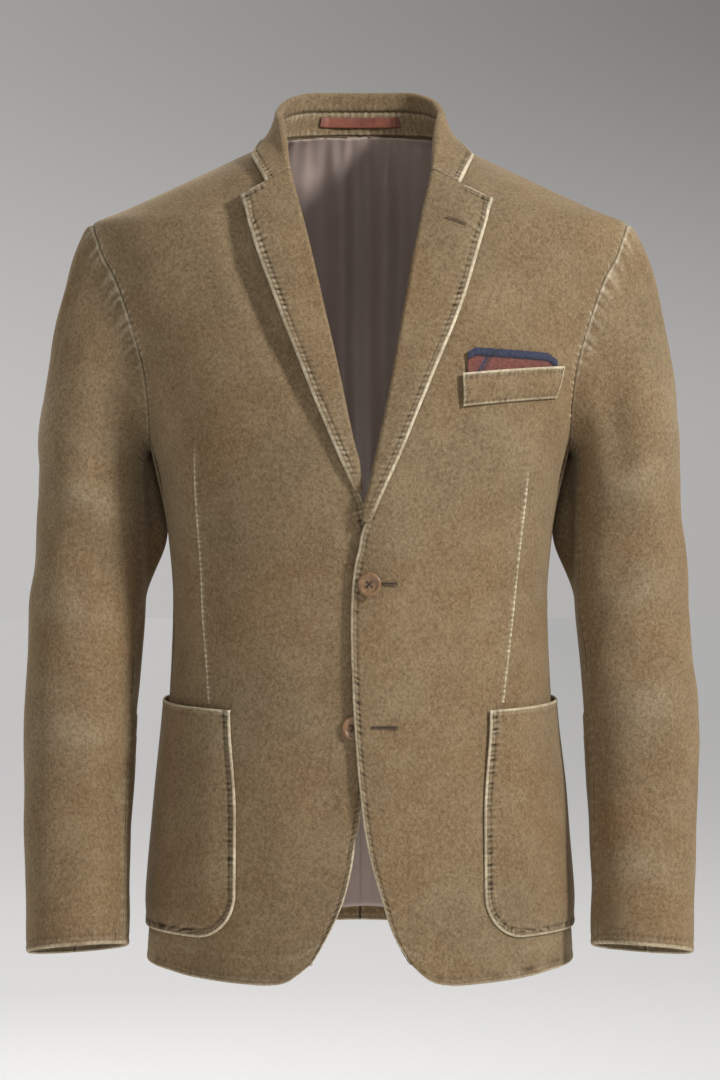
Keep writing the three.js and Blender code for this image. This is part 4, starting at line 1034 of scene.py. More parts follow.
# %% [markdown]
# ## Lapels
# Each row of a lapel starts under the panel's edge, turns over in a soft round fold and lies back
# over the chest, a little sprung off it. The outer edge is stitched 6 mm in, and it is the palest
# line of the whole coat.

# %% Lapels
LAPEL_LIFT, LAPEL_PUFF = 6.5, 1.5
NOTCH_SHARE = 0.41
LAPEL_EDGE = (0.35, 0.5, 0.6, 0.7, 0.8, 0.9, 1.0, 1.1, 1.2, 1.3, 1.5, 1.8, 2.4, 3.2)


def folded_rows(side, start, edge, fold, shares, turns):
    """Rows of points from the panel's edge, round the fold and out to the lapel's edge."""
    _, _, reach, radius = fold
    foot = trunk(start[:, 0], start[:, 1])
    normal = trunk_normal(start[:, 0], start[:, 1])
    toward = foot - trunk(edge[:, 0], edge[:, 1])
    width = np.linalg.norm(toward, axis=-1)
    toward = unit(toward - normal * np.sum(toward * normal, axis=-1, keepdims=True))
    base = lay_off(side, foot[:, 0], start[:, 1])
    middle = foot + normal * (base - CLOTH / 2)[:, None]
    centre = middle + normal * radius[:, None] + toward * (reach - radius)[:, None]
    angles = np.linspace(-np.pi / 2, np.pi / 2, turns)
    turned = (centre[:, None] + toward[:, None] * (radius[:, None] * np.cos(angles))[..., None]
              + normal[:, None] * (radius[:, None] * np.sin(angles))[..., None])
    begin = middle + toward * 0.3
    full = rise(width, 0, 30)[:, None]
    near = (2 * radius - CLOTH / 2)[:, None]
    theta = start[:, :1] + (edge[:, :1] - start[:, :1]) * shares
    w = start[:, 1:] + (edge[:, 1:] - start[:, 1:]) * shares
    lift = (near + (near + (LAPEL_LIFT - near) * full - near) * shares
            + LAPEL_PUFF * full * np.sin(np.pi * shares))
    over = on_trunk(theta, w, lay_off(side, trunk(theta, w)[..., 0], w) + lift)
    return np.concatenate([begin[:, None], turned, over], axis=1), width


def lapel_rows(side, count, shares, turns):
    """All rows of one lapel from the break to the gorge."""
    top_z = side["roll"]["z"][-1]
    z = np.linspace(side["first_fold"], top_z, count)
    roll, edge_x, reach, radius = fold = fold_at(side, z)
    start = np.stack(on_front(roll + reach, z), -1)
    corner_z = side["lapel"]["z"][-1]
    climb = (corner_z - top_z) * rise(z, top_z - 105, top_z)
    edge_z = z + climb
    edge = np.stack(on_front(curve(side["lapel"]["z"], side["lapel"]["x"])(edge_z), edge_z), -1)
    return folded_rows(side, start, edge, fold, shares, turns)


def lapel_sheet(key, side):
    shares = 1 - graded(60, LAPEL_EDGE, (), 3.4)[::-1]
    turns = 11
    points, _ = lapel_rows(side, 300, shares[1:], turns)
    over = np.arange(points.shape[1])[None, :, None] > turns
    sheet = Sheet(points, lambda p: np.where(over, outward_front(p), 0.0))
    wide = rise(np.linalg.norm(points[:, -1] - points[:, turns], axis=-1), 3, 14)[:, None]
    sheet.finished("right", 101 + side["sign"], 1.0, wide, pale=1.0)
    _, s_top = sheet.edge("top")
    free = rise(s_top, s_top.max() * (NOTCH_SHARE + 0.18), s_top.max() * (NOTCH_SHARE + 0.22))
    sheet.finished("top", 111 + side["sign"], 1.0, free, pale=1.0)
    sheet.seam("top", 113 + side["sign"], 0.4, 1 - free, 0.9, 0.2)
    sheet.lie(60, 1.1, 120 + side["sign"])
    return sheet


for key, side in SIDES.items():
    cloth_piece(f"lapel_{key}_cloth", lapel_sheet(key, side), side["sign"], [f"lapel_{key}"], offset=0.0)

# %% [markdown]
# ## Sleeves
# A sleeve starts on the armhole, swings out over the shoulder and hangs down in level rings with a
# slight bend forward at the elbow. It is cut in two parts, top and under, and the seam on its front
# shows down the inside of the arm.

# %% Sleeves
SLEEVE_POWER = 2.2
SLEEVE = named("z outer inner y depth lean slope", [
    (-300, 277.5, 189, -75, 64, 0, 0), (-360, 283.2, 187.5, -73, 62, 0.02, 0),
    (-419, 289, 189.3, -74, 60, 0.09, 0), (-480, 292, 194, -84, 57.5, 0.16, 0.01),
    (-540, 293, 197.2, -96, 55, 0.18, 0.03), (-600, 291.5, 199.2, -108, 53, 0.18, 0.05),
    (-660, 288.8, 199.6, -120, 51, 0.18, 0.07), (-718, 286.5, 200.5, -131, 50, 0.18, 0.08)])
SLEEVE_ROW = {key: curve(SLEEVE["z"], SLEEVE[key]) for key in SLEEVE if key != "z"}
CAP = {"crown": 0.12, "out": 0.75, "over": 0.66, "start": 0.56, "end": 1.15}
RING_STEPS, FRONT_STEP, BACK_STEP = 22, 9, 17
ARM_STEPS, UNDER_STEPS = 9, 4
CUFF_EDGE = (0.4, 0.6, 0.8, 1.0, 1.2, 1.4, 1.8, 2.4, 3.0)
SLEEVE_EDGE = (0.5, 0.7, 0.9, 1.2, 1.6)
UNDER_EDGE = (0.6, 1.0, 1.6, 2.4)


def arm_places(step):
    """Places on the armhole for ring steps 0 to 22, from the shoulder point round the front."""
    step = np.asarray(step, float) % RING_STEPS
    front = ARM_FRONT(np.clip(step / ARM_STEPS, 0, 1))
    under = ARM_UNDER(np.clip((step - ARM_STEPS) / UNDER_STEPS, 0, 1))
    back = ARM_BACK(np.clip((step - ARM_STEPS - UNDER_STEPS) / ARM_STEPS, 0, 1))
    pick = step[:, None]
    return np.where(pick < ARM_STEPS, front, np.where(pick < ARM_STEPS + UNDER_STEPS, under, back))


def sleeve_ring(z, angle):
    """Points of a level ring of the sleeve. Under the arm its back reaches in to the body."""
    row = {key: read(z) for key, read in SLEEVE_ROW.items()}
    across, ahead = swell(angle, SLEEVE_POWER)
    deep = -ahead * row["depth"]
    x = across * (row["outer"] - row["inner"]) / 2
    gap = row["inner"] - RING["half"](z) + 0.3
    web = gap * rise(z, -420, -350) * rise(-ahead, -0.1, 0.25) * np.clip(-across, 0, 1) ** 2
    return np.stack([(row["outer"] + row["inner"]) / 2 + x - web, row["y"] + deep * np.cos(row["lean"]),
                     z - deep * np.sin(row["lean"]) - x * row["slope"]], -1)


def arm_angles(step):
    """The angle round the sleeve of each ring step, by the armhole's length."""
    fine = np.linspace(0, RING_STEPS, 441)
    places = arm_places(np.r_[fine[:-1], 0])
    points = trunk(places[:, 0], places[:, 1])
    run = lengths(points)
    return 2 * np.pi * np.interp(step % RING_STEPS, fine, run / run[-1])


def sleeve_points(step, cap_shares, heights):
    """The whole sleeve: rows from the armhole to the cuff, columns at the given ring steps."""
    angle = arm_angles(step)
    place = arm_places(step)
    ahead, behind = arm_places(step + 0.4), arm_places(step - 0.4)
    start = trunk(place[:, 0], place[:, 1])
    normal = trunk_normal(place[:, 0], place[:, 1])
    run = trunk(ahead[:, 0], ahead[:, 1]) - trunk(behind[:, 0], behind[:, 1])
    inward = unit(np.cross(run, normal))
    hub = trunk(np.array(0.0), np.array(float(ARMHOLE["w"])))
    inward *= np.sign(np.sum(inward * (hub - start), axis=-1, keepdims=True))
    under = (((1 - np.cos(angle)) / 2) ** 3)[:, None]
    crown = (((1 + np.cos(angle)) / 2) ** 2)[:, None]
    out = CAP["out"] + (CAP["crown"] - CAP["out"]) * crown
    leave = normal * (out + (1 - out) * under) + inward * CAP["over"] * (1 - under)
    start = start - inward * 0.4 - normal * 1.2
    end = sleeve_ring(np.full(len(step), SLEEVE["z"].max()), angle)
    far = np.linalg.norm(end - start, axis=-1, keepdims=True)
    go = leave * far * (CAP["start"] + (1 - CAP["start"]) * under)
    arrive = np.array([0, 0, -1.0]) * far * (CAP["end"] + (1 - CAP["end"]) * under)
    cap = [swept(start, go, end, arrive, t) for t in cap_shares]
    return np.array(cap + [sleeve_ring(np.full(len(step), z), angle) for z in heights])


def sleeve_outward(p):
    hub = p.mean(axis=1, keepdims=True)
    return p - hub + np.array([0, 0, 20.0]) * (np.arange(len(p)) < 30)[:, None, None]


SLEEVE_CREASES = {
    1: [((262, -205), (286, -330), 2.6, 15), ((215, -225), (228, -330), -3.0, 13),
        ((205, -330), (262, -300), 2.4, 13), ((200, -385), (268, -350), -2.8, 13),
        ((205, -420), (280, -402), 3.0, 15), ((208, -465), (276, -480), -2.6, 14),
        ((205, -515), (282, -500), 2.2, 16), ((214, -590), (280, -565), -1.8, 18),
        ((212, -650), (276, -640), 1.6, 16)],
    -1: [((262, -205), (284, -330), 2.4, 15), ((215, -225), (228, -330), -3.0, 13),
         ((203, -345), (266, -318), 2.6, 13), ((200, -392), (262, -365), -2.8, 13),
         ((270, -243), (282, -302), 1.5, 9), ((206, -440), (282, -415), 2.8, 15),
         ((208, -480), (276, -500), -2.4, 14), ((210, -540), (282, -520), 2.0, 16),
         ((214, -610), (280, -590), -1.6, 18)],
}


def sleeve_sheet(first, count, columns):
    """One part of a sleeve between two ring steps."""
    step = first + count * columns
    cap = np.unique(np.r_[0, 0.004, 0.01, 0.018, 0.028, 0.04, 0.055, np.linspace(0.07, 0.985, 42)])
    top, cuff = SLEEVE["z"].max(), SLEEVE["z"].min()
    heights = top - (top - cuff) * graded(top - cuff, (), CUFF_EDGE, 3.7)
    return Sheet(sleeve_points(step, cap, heights), sleeve_outward)


def sleeve_dress(sheet, side, seed, top_part):
    """Seams, cuff and creases of one part of a sleeve."""
    d, s = sheet.edge("bottom")
    wave = beats(s, 3.6, seed)
    cap = rise(d, 0, 3) * hill(d, 14)
    crown = rise(sheet.points[..., 2], -240, -170)
    sheet.lift += (1.9 * wave * cap - 0.8 * hill(d, 1.4) + 0.3 * hill(d - 7, 6)) * (0.25 + 0.75 * crown)
    sheet.worn += (np.clip(wave, 0, 1) * hill(d - 6, 10) * (0.08 + 0.5 * crown)
                   + (0.15 + 0.35 * crown) * hill(d - 2.4, 1.0))
    # Painted shade along the armhole seam and in the dips between its puckers
    sheet.painted_shade += 0.5 * hill(d - 1, 0.8) + 0.35 * np.clip(-wave, 0, 1) * hill(d - 4, 5) * crown
    sheet.seam("left", seed + 3, 0.6, 1.0, 0.7, 0.5)
    sheet.seam("right", seed + 3, 0.6, 1.0, 0.7, 0.5)
    sheet.finished("top", seed + 9, 0.55, 1.0, stitch=7, pale=0.6)
    if top_part:
        for start, end, height, width in SLEEVE_CREASES[side["sign"]]:
            front = (sheet.points[..., 1] < -55).astype(float)
            sheet.crease(start, end, 1.25 * height, width, where=front, pale=0.1)
    x, y, z = np.moveaxis(sheet.points, -1, 0)
    around = np.arctan2(y + 95, x - 240) * 60
    inside = rise(np.minimum(sheet.up, sheet.up[-1:] - sheet.up), 8, 60) * rise(
        np.minimum(sheet.run, sheet.run[:, -1:] - sheet.run), 0, 14)
    clear = np.where(z < -285, rise(x - RING["half"](z), 3, 16), 1)
    sheet.lift += inside * clear * (1.7 * drift(z + 0.55 * around, 42, seed + 11) - 0.3
                                    + 1.2 * drift(z - 0.8 * around, 60, seed + 12)
                                    + 0.8 * drift(around, 30, seed + 13))
    return sheet


TOP_COLUMNS = graded(220, SLEEVE_EDGE, SLEEVE_EDGE, 2.2)
UNDER_COLUMNS = graded(125, UNDER_EDGE, UNDER_EDGE, 5)
UNDER_COUNT = BACK_STEP - FRONT_STEP
for key, side in SIDES.items():
    top_part = sleeve_sheet(BACK_STEP, RING_STEPS - UNDER_COUNT, TOP_COLUMNS)
    cloth_piece(f"sleeve_top_{key}_cloth", sleeve_dress(top_part, side, 131 + side["sign"], True),
                side["sign"], [f"sleeve_top_{key}"], offset=0.0)
    under_part = sleeve_sheet(FRONT_STEP, UNDER_COUNT, UNDER_COLUMNS)
    cloth_piece(f"sleeve_under_{key}_cloth", sleeve_dress(under_part, side, 151 + side["sign"], False),
                side["sign"], [f"sleeve_under_{key}"], offset=0.0)

# %% [markdown]
# ## Collar
# The collar is a stand inside the neck and a fall that rolls over it, out to the notch. It is made by
# sections round the neck, and a smooth run goes through them.

# %% Collar
COLLAR_FOLD = named("x y z stand", [
    (0, -3, 38.3, 0.6), (27, -4.5, 38, 0.6), (48, -13, 36.5, 0.6), (64.5, -36, 27.5, 0.6),
    (71, -64, 14, 0.58), (68.5, -92, 2.5, 0.5), (65, -124, -19.5, 0.35)])
COLLAR_BACK = [(SPINE, 73), (1.2, 72.5), (0.8, 71.6), (0.4, 72.8), (0, 76)]
COLLAR_RADIUS, COLLAR_PULL, COLLAR_LIFT = 2.6, 0.9, 4.2
COLLAR_TURNS = 11
COLLAR_EDGE = (0.35, 0.5, 0.6, 0.7, 0.8, 0.9, 1.0, 1.1, 1.2, 1.4, 1.8, 2.4)
COLLAR_SHARES = 1 - graded(46, COLLAR_EDGE, (), 2.6)[::-1][1:]
NECK_STATIONS = 4


def collar_sections(side):
    """The fall and the stand at seven stations, from the centre back to the front."""
    back = [(SPINE * (1 - t), NECK_W) for t in np.linspace(0, 1, NECK_STATIONS + 1)]
    front = neck_front(side)(np.linspace(1, 0, 4)[1:])
    neck = np.vstack([back, front])
    middle = np.mean([side["tip"], side["notch"]], axis=0)
    edges = np.vstack([COLLAR_BACK, np.ravel(on_front(*side["tip"])), np.ravel(on_front(*middle))])
    falls, stands = [], []
    for i in range(len(edges)):
        crest = np.array([COLLAR_FOLD[key][i] for key in ("x", "y", "z")])
        before = neck[i - 1] if i else np.array([SPINE + 0.1, NECK_W])
        along = on_trunk(*neck[i + 1], 0) - on_trunk(*before, 0) if i + 1 < len(neck) else along
        normal = trunk_normal(*neck[i])
        foot = on_trunk(*neck[i], -CLOTH / 2)
        inward = unit(np.cross(along, normal))
        climb = unit(crest - foot)
        foot = foot + inward * (0.3 + CLOTH / 2 * abs(float(climb @ normal)))
        climb = unit(crest - foot)
        outward = unit(np.cross(climb, along))
        centre = crest - climb * (COLLAR_RADIUS + CLOTH / 2)
        inner = centre - outward * COLLAR_RADIUS
        split = foot + (inner - foot) * COLLAR_FOLD["stand"][i]
        angles = np.linspace(0, np.pi, COLLAR_TURNS)[:, None]
        turned = centre - outward * COLLAR_RADIUS * np.cos(angles) + climb * COLLAR_RADIUS * np.sin(angles)
        end = on_trunk(*edges[i], COLLAR_LIFT)
        down = unit(end - on_trunk(*(edges[i] + 0.2 * (neck[i] - edges[i])), COLLAR_LIFT))
        pull = np.linalg.norm(turned[-1] - end) * COLLAR_PULL
        over = swept(turned[-1], -climb * pull, end, down * pull, COLLAR_SHARES[:, None])
        lead = split + (turned[0] - split) * np.linspace(0, 1, 5)[:-1, None]
        falls.append(np.vstack([lead, turned, over]))
        stands.append(foot + (split - foot) * np.linspace(0, 1, 12)[:, None])
    return falls, stands, neck


def gorge_section(side):
    """The collar's front end: the top of the lapel, from its fold to the notch."""
    shares = COLLAR_SHARES * NOTCH_SHARE
    points, _ = lapel_rows(side, 300, shares, COLLAR_TURNS)
    top = points[-1]
    lead = top[0] + (top[1] - top[0]) * np.linspace(0, 1, 4)[:, None]
    return np.vstack([lead, top[1:]])


def round_neck(halves):
    """Both halves in one run, from the right front round the back to the left front."""
    right = [points * (-1, 1, 1) for points in halves["right"]][::-1]
    return np.array(right + halves["left"][1:])


COLLAR = {key: collar_sections(side) for key, side in SIDES.items()}
fall_half = {key: COLLAR[key][0] + [gorge_section(SIDES[key])] for key in SIDES}
STATIONS = round_neck(fall_half)
# The run is smooth in the neck, but its outer edge turns a sharp corner at each tip of the collar.
FALL_ROWS = (44, 330, 44)
TIPS = (2, len(STATIONS) - 3)
knots = knots_of(STATIONS)
stops = np.r_[0, knots[list(TIPS)], knots[-1]]
parts = [np.linspace(a, b, n) for a, b, n in zip(stops, stops[1:], FALL_ROWS)]
smooth_run = through(STATIONS, at=np.concatenate([parts[0], parts[1][1:], parts[2][1:]]))
cut = (0, *TIPS, len(STATIONS) - 1)
cornered = [through(STATIONS[a:b + 1], at=at - at[0]) for a, b, at in zip(cut, cut[1:], parts)]
cornered = np.concatenate([cornered[0], cornered[1][1:], cornered[2][1:]])
sharp = rise(np.arange(smooth_run.shape[1]), 5 + COLLAR_TURNS, smooth_run.shape[1] - 8)[None, :, None]
fall = smooth_run + (cornered - smooth_run) * sharp


def collar_outward(p):
    columns = np.arange(p.shape[1])[None, :, None]
    away = (p - np.array([0, -60.0, 0])) * (1, 1, 0)
    return np.where(columns > 4 + COLLAR_TURNS, unit(away), 0.0)


fall_sheet = Sheet(fall, collar_outward)
fall_sheet.finished("right", 171, 1.0, 1.0, stitch=6, pale=1.0)
fall_sheet.seam("bottom", 173, 0.5, 1.0, 0.9, 0.25)
fall_sheet.seam("top", 174, 0.5, 1.0, 0.9, 0.25)
fall_sheet.seam("left", 175, 0.3, 1.0, 0.5, 0.5)
fall_sheet.lie(50, 0.9, 176)
cloth_piece("collar_fall_cloth", fall_sheet, 1, ["collar_fall"], offset=0.0)

stand = through(round_neck({key: COLLAR[key][1] for key in SIDES}), 320)
stand_sheet = Sheet(stand, lambda p: (np.array([0, -60.0, 0]) - p) * (1, 1, 0))
stand_sheet.seam("left", 181, 0.35, 1.0, 0.5, 0.9)
stand_sheet.seam("right", 182, 0.45, 1.0, 0.6, 0.9)
cloth_piece("collar_stand_cloth", stand_sheet, 1, ["collar_stand"], offset=0.0)

# %% [markdown]
# ## Pockets
# The patch pockets are bagged on: their edge stands up as a thick rounded ridge, drawn in by the
# stitches 6 mm inside it. The breast pocket is a slanted welt with a folded cloth insert behind it.

# %% Patch pockets
PATCH = {"edge_x": 104, "top": -503, "bottom": -702, "width": 172, "corner": 38, "puff": 2.6}
ON_PANEL = 0.9
MOUTH_EDGE = (0.4, 0.6, 0.8, 1.0, 1.2, 1.4, 1.6, 2.0)
FOOT_EDGE = (0.4, 0.5, 0.7, 0.9, 1.0, 1.2, 1.2, 1.3, 1.5, 1.8, 2.2)
PATCH_EDGE = (0.4, 0.5, 0.7, 0.8, 0.9, 1.0, 1.1, 1.2, 1.3, 1.6, 2.0, 2.6)
WELT_EDGE = (0.4, 0.5, 0.7, 0.9, 1.1, 1.4)


def patch_angle(length, w):
    """Angle at a length of cloth from the centre front, past the side seam too."""
    angles = np.linspace(BREAST, 0.9, 700)
    found = np.zeros(length.shape)
    for i in range(len(w)):
        points = trunk(angles, np.full(len(angles), w[i]))
        found[i] = np.interp(length[i], lengths(points), angles)
    return found


def patch_sheet(side):
    rows = graded(PATCH["top"] - PATCH["bottom"], FOOT_EDGE, MOUTH_EDGE, 2.0)
    columns = graded(PATCH["width"], PATCH_EDGE, PATCH_EDGE, 5.0)
    high = rows * (PATCH["top"] - PATCH["bottom"])
    drop = np.clip(PATCH["corner"] - high, 0, None)
    narrow = PATCH["corner"] - np.sqrt(PATCH["corner"] ** 2 - drop ** 2)
    w = PATCH["bottom"] + high
    slant = 4.5 * rise(rows, 0.5, 1)
    edge_theta, _ = on_front(PATCH["edge_x"] + slant, w)
    s = narrow[:, None] + (PATCH["width"] - 2 * narrow)[:, None] * columns
    base = ring_length(BREAST, edge_theta, w)
    theta = patch_angle(base[:, None] + s, w)
    w_grid = w[:, None] - 1.5 * slant[:, None] * (1 - columns)
    aside, above = np.minimum(s, PATCH["width"] - s), np.broadcast_to(high[:, None], s.shape)
    bend = PATCH["corner"]
    corner = (aside < bend) & (above < bend)
    rim = np.where(corner, bend - np.hypot(bend - aside, bend - above), np.minimum(aside, above))
    turn = np.arctan2(bend - above, bend - aside)
    beside = np.where(aside < above, above, bend * (2 - np.pi / 2) - aside)
    along = np.where(corner, bend * (1 - turn), beside)
    lift = ON_PANEL + CLOTH + PATCH["puff"] * rise(rim, 0, 24)
    sheet = Sheet(on_trunk(theta, w_grid, lift), from_axis)
    rim_run = (rim[:, ::-1], along[:, ::-1]) if sheet.turned else (rim, along)
    sheet.finished(rim_run, 191 + side["sign"], 1.2, 1.0, pale=0.85)
    sheet.finished("top", 197 + side["sign"], 0.3, 1.0, pale=0.85)
    sheet.lie(45, 1.6, 200 + side["sign"])
    sheet.crease((112, -530), (118, -680), -1.6, 11)
    sheet.crease((138, -520), (140, -690), 1.8, 13)
    sheet.crease((158, -520), (160, -690), -1.3, 10)
    return sheet


for key, side in SIDES.items():
    cloth_piece(f"patch_pocket_{key}_cloth", patch_sheet(side), side["sign"], [f"patch_pocket_{key}"])

# %% Breast pocket
WELT = {"inner": 84.8, "outer": 172, "top_inner": -226.7, "top_outer": -217.3, "deep": 27.5}
INSERT = 1.2
INSERT_SIZE = {"inner": 90, "outer": 166, "top": -204.6, "tuck": 5}


def welt_sheet():
    down = graded(WELT["deep"], WELT_EDGE, WELT_EDGE, 1.6)[::-1]
    t = graded(88, (0.4, 0.6, 0.9, 1.2), (0.4, 0.6, 0.9, 1.2), 1.4)
    d, t = down[:, None], t[None]
    x = WELT["inner"] + (WELT["outer"] - WELT["inner"]) * t + d * (1.2 - 6.8 * t)
    z = WELT["top_inner"] + (WELT["top_outer"] - WELT["top_inner"]) * t - WELT["deep"] * d
    theta, w = on_front(x, z)
    lift = ON_PANEL + CLOTH + INSERT + 0.9 - 1.8 * rise(np.broadcast_to(d, x.shape), 0.4, 1)
    sheet = Sheet(on_trunk(theta, w, lift), outward_front)
    sheet.finished("top", 211, 0.5, 1.0, stitch=5, pale=1.0)
    sheet.finished("left", 213, 0.3, 1.0, stitch=2.5, pale=0.5)
    sheet.finished("right", 215, 0.3, 1.0, stitch=2.5, pale=0.7)
    sheet.finished("bottom", 217, 0.4, 1.0, stitch=3, pale=0.4)
    sheet.lie(18, 0.5, 219)
    return sheet


cloth_piece("breast_welt_cloth", welt_sheet(), 1, ["breast_welt"])

# %% Pocket insert
def insert_material():
    """Two dull cottons folded together: a navy one along the top, a rust one under it."""
    made, tree = material("insert_navy_and_rust_cotton")
    weave = spotted(tree, 0.9, 2)
    navy = shade(tree, weave, [(0.35, 0), (0.65, 1)], "#1a1e30", "#343850")
    rust = shade(tree, weave, [(0.35, 0), (0.65, 1)], "#5c3029", "#7a4639")
    colour = blend(tree, attribute(tree, "worn"), rust, navy)
    # Painted shade: darkens the seam between the bands and a line beside the slanted fold
    colour = blend(tree, attribute(tree, "painted_shade"), colour, linear("#15161f"))
    bump = node(tree, "ShaderNodeBump", {"Height": weave}, {"Strength": 0.4, "Distance": 0.0004})
    surface(tree, {"Base Color": colour, "Normal": bump.outputs[0]}, {
        "Roughness": 0.85, "Sheen Weight": 0.15})
    return made


def insert_sheet():
    up = graded(24, (), (0.3, 0.5, 0.7, 0.9), 0.8)
    t = graded(76, (0.4, 0.6, 0.9), (0.4, 0.6, 0.9), 0.9)
    x = INSERT_SIZE["inner"] + (INSERT_SIZE["outer"] - INSERT_SIZE["inner"]) * t
    foot = np.interp(x, [WELT["inner"], WELT["outer"]], [WELT["top_inner"], WELT["top_outer"]])
    foot -= INSERT_SIZE["tuck"]
    inner, outer = INSERT_SIZE["inner"], INSERT_SIZE["outer"]
    corner = 3.5 * (1 - rise(x, inner, inner + 7)) + 4.5 * rise(x, outer - 9, outer)
    top = INSERT_SIZE["top"] - corner - 0.04 * (x - inner)
    z = foot[None] + (top - foot)[None] * up[:, None]
    x = np.broadcast_to(x[None], z.shape)
    theta, w = on_front(x, z)
    sheet = Sheet(on_trunk(theta, w, np.full(z.shape, ON_PANEL + INSERT)), outward_front)
    below = top[None] - z
    band = 1 - rise(below, 6.2, 7.0)
    slanted = hill((x - inner - 6) - (z - foot[None]) * 0.62, 2.0)
    seam_line = hill(below - 6.6, 0.8)
    sheet.worn = np.clip(band + slanted, 0, 1)
    # Painted shade along the sunken seam and a painted shadow beside the raised slanted fold
    sheet.painted_shade = 0.75 * seam_line + 0.6 * hill((x - inner - 9.5) - (z - foot[None]) * 0.62, 1.2)
    sheet.lift = (1.1 * band + 0.5 * slanted - 0.5 * seam_line + 0.5 * hill(below - 3.2, 2.6)
                  + 0.25 * beats(x, 2.4, 221) * hill(below - 3, 3))
    return sheet


cloth_piece("pocket_insert_cotton", insert_sheet(), 1, ["pocket_insert"], insert_material(), INSERT)

# %% [markdown]
# ## Lining
# Inside, the back is lined in a taupe satin with a knife pleat down the centre. The satin hangs a
# little loose, so it falls in soft upright folds gathered under the collar. Its weave makes long
# highlights, so the shader is smoother than cotton and stretched across the threads.

# %% Satin lining
def satin_material():
    """Warp-faced satin: smooth, with a broad soft shine."""
    made, tree = material("taupe_satin")
    grain = spotted(tree, 3.0, 2, (1, 1, 0.1))
    cloud = spotted(tree, 60, 2, (1, 1, 0.4))
    colour = shade(tree, cloud, [(0.35, 0), (0.7, 1)], "#9a877e", "#b8a59c")
    colour = shade(tree, grain, [(0.4, 0), (0.8, 0.3)], colour, "#b3a199")
    bump = node(tree, "ShaderNodeBump", {"Height": grain}, {"Strength": 0.15, "Distance": 0.0003})
    surface(tree, {"Base Color": colour, "Normal": bump.outputs[0]}, {
        "Roughness": 0.4, "Anisotropic": 0.4, "Specular IOR Level": 0.6, "Sheen Weight": 0.3,
        "Sheen Roughness": 0.35})
    return made


SATIN = satin_material()
LINING, LINING_GAP, PLEAT, TUCK_DEPTH = 1.0, 0.6, 12, 2.0
LINING_HEM, LINING_SHARE = 13, 0.53
# The left half stands off the puckered seam of the back by this much
SEAM_ROOM = 1.3
# Soft upright folds: distance from the pleat, height and width
LINING_FOLDS = {1: [(24, 6, 10), (52, 5, 12), (84, 5, 13)],
                -1: [(17, 7, 12), (50, 5, 12), (82, 5, 13)]}


def lining_sheet(side):
    """Half of the back lining, hung just inside the back panel."""
    up = np.linspace(0, 1, 190)
    across = graded(130, (0.5, 0.8, 1.2, 2.0), (), 1.9)
    spine_w = np.interp(up, [0, SHARES["underarm"], 1],
                        [HEM_HEIGHT(SPINE) + LINING_HEM, SPINE_BREAK, NECK_W - 0.5])
    arm = panel_right(BACK_SEAM, ARM_BACK, SIDES["left"]["first_fold"], up, ARM_BACK(np.array([0.0]))[0])
    arm[:, 1] += LINING_HEM * (1 - rise(up, 0, 0.1))
    span = ring_length(SPINE, arm[:, 0], arm[:, 1])
    reach = np.minimum(span * LINING_SHARE, 118)
    neck_reach = ring_length(SPINE, np.zeros(1), np.array([float(NECK_W)]))[0] - 4
    reach = reach + (neck_reach - reach) * rise(up, 0.86, 1)
    under = PLEAT if side["sign"] > 0 else 0
    length = (reach[:, None] + under) * across - under
    w = np.broadcast_to(spine_w[:, None], length.shape)
    theta = ring_angle(SPINE, length, w)
    over = (TUCK_DEPTH + LINING) * (1 - rise(length, 10, 30))
    depth = CLOTH + LINING_GAP + (over if side["sign"] < 0 else SEAM_ROOM * hill(length, 6))
    z = trunk(theta, w)[..., 2]
    hang = rise(-z, -8, 45)
    sway = length + 5 * drift(z, 90, 231 + side["sign"])
    folds = sum(high * hill(sway - centre, wide) for centre, high, wide in LINING_FOLDS[side["sign"]])
    folds = (folds + 0.8 * drift(length + 0.04 * z, 17, 241 + side["sign"]) + 1) * hang * rise(length, 3, 16)
    gathers = 0.9 * beats(length, 6.5, 251) * hill(z + 10, 26) * rise(length, 2, 10)
    return Sheet(on_trunk(theta, w, -depth - folds - gathers), lambda p: -from_axis(p))


for key, side in SIDES.items():
    cloth_piece(f"back_lining_{key}_satin", lining_sheet(side), side["sign"], [f"back_lining_{key}"],
                SATIN, LINING)

# %% [markdown]
# ## Hanger loop, buttons and buttonholes
# Small hard details carry the eye: a rust leather loop on the stand, and turned buttons with a
# raised rim and four thread holes.

# %% Hanger loop
def leather_material():
    """Rust leather: fine pores, a dull polish, darker cut edges."""
    made, tree = material("rust_leather")
    pores = node(tree, "ShaderNodeTexVoronoi", {"Vector": coordinates(tree)}, {"Scale": 1 / (1.2 * MM)})
    colour = shade(tree, spotted(tree, 5, 2), [(0.35, 0), (0.7, 1)], "#7b4434", "#95553f")
    colour = blend(tree, attribute(tree, "worn"), colour, linear("#4e2a20"))
    bump = node(tree, "ShaderNodeBump", {"Height": pores.outputs["Distance"]},
                {"Strength": 0.3, "Distance": 0.0003})
    surface(tree, {"Base Color": colour, "Normal": bump.outputs[0]}, {"Roughness": 0.55})
    return made


LOOP = {"half": 37, "bottom": 6, "top": 15.3, "thick": 1.4}
LOOP_END, LOOP_EDGE = (0.3, 0.5, 0.8, 1.2), (0.25, 0.35, 0.5)


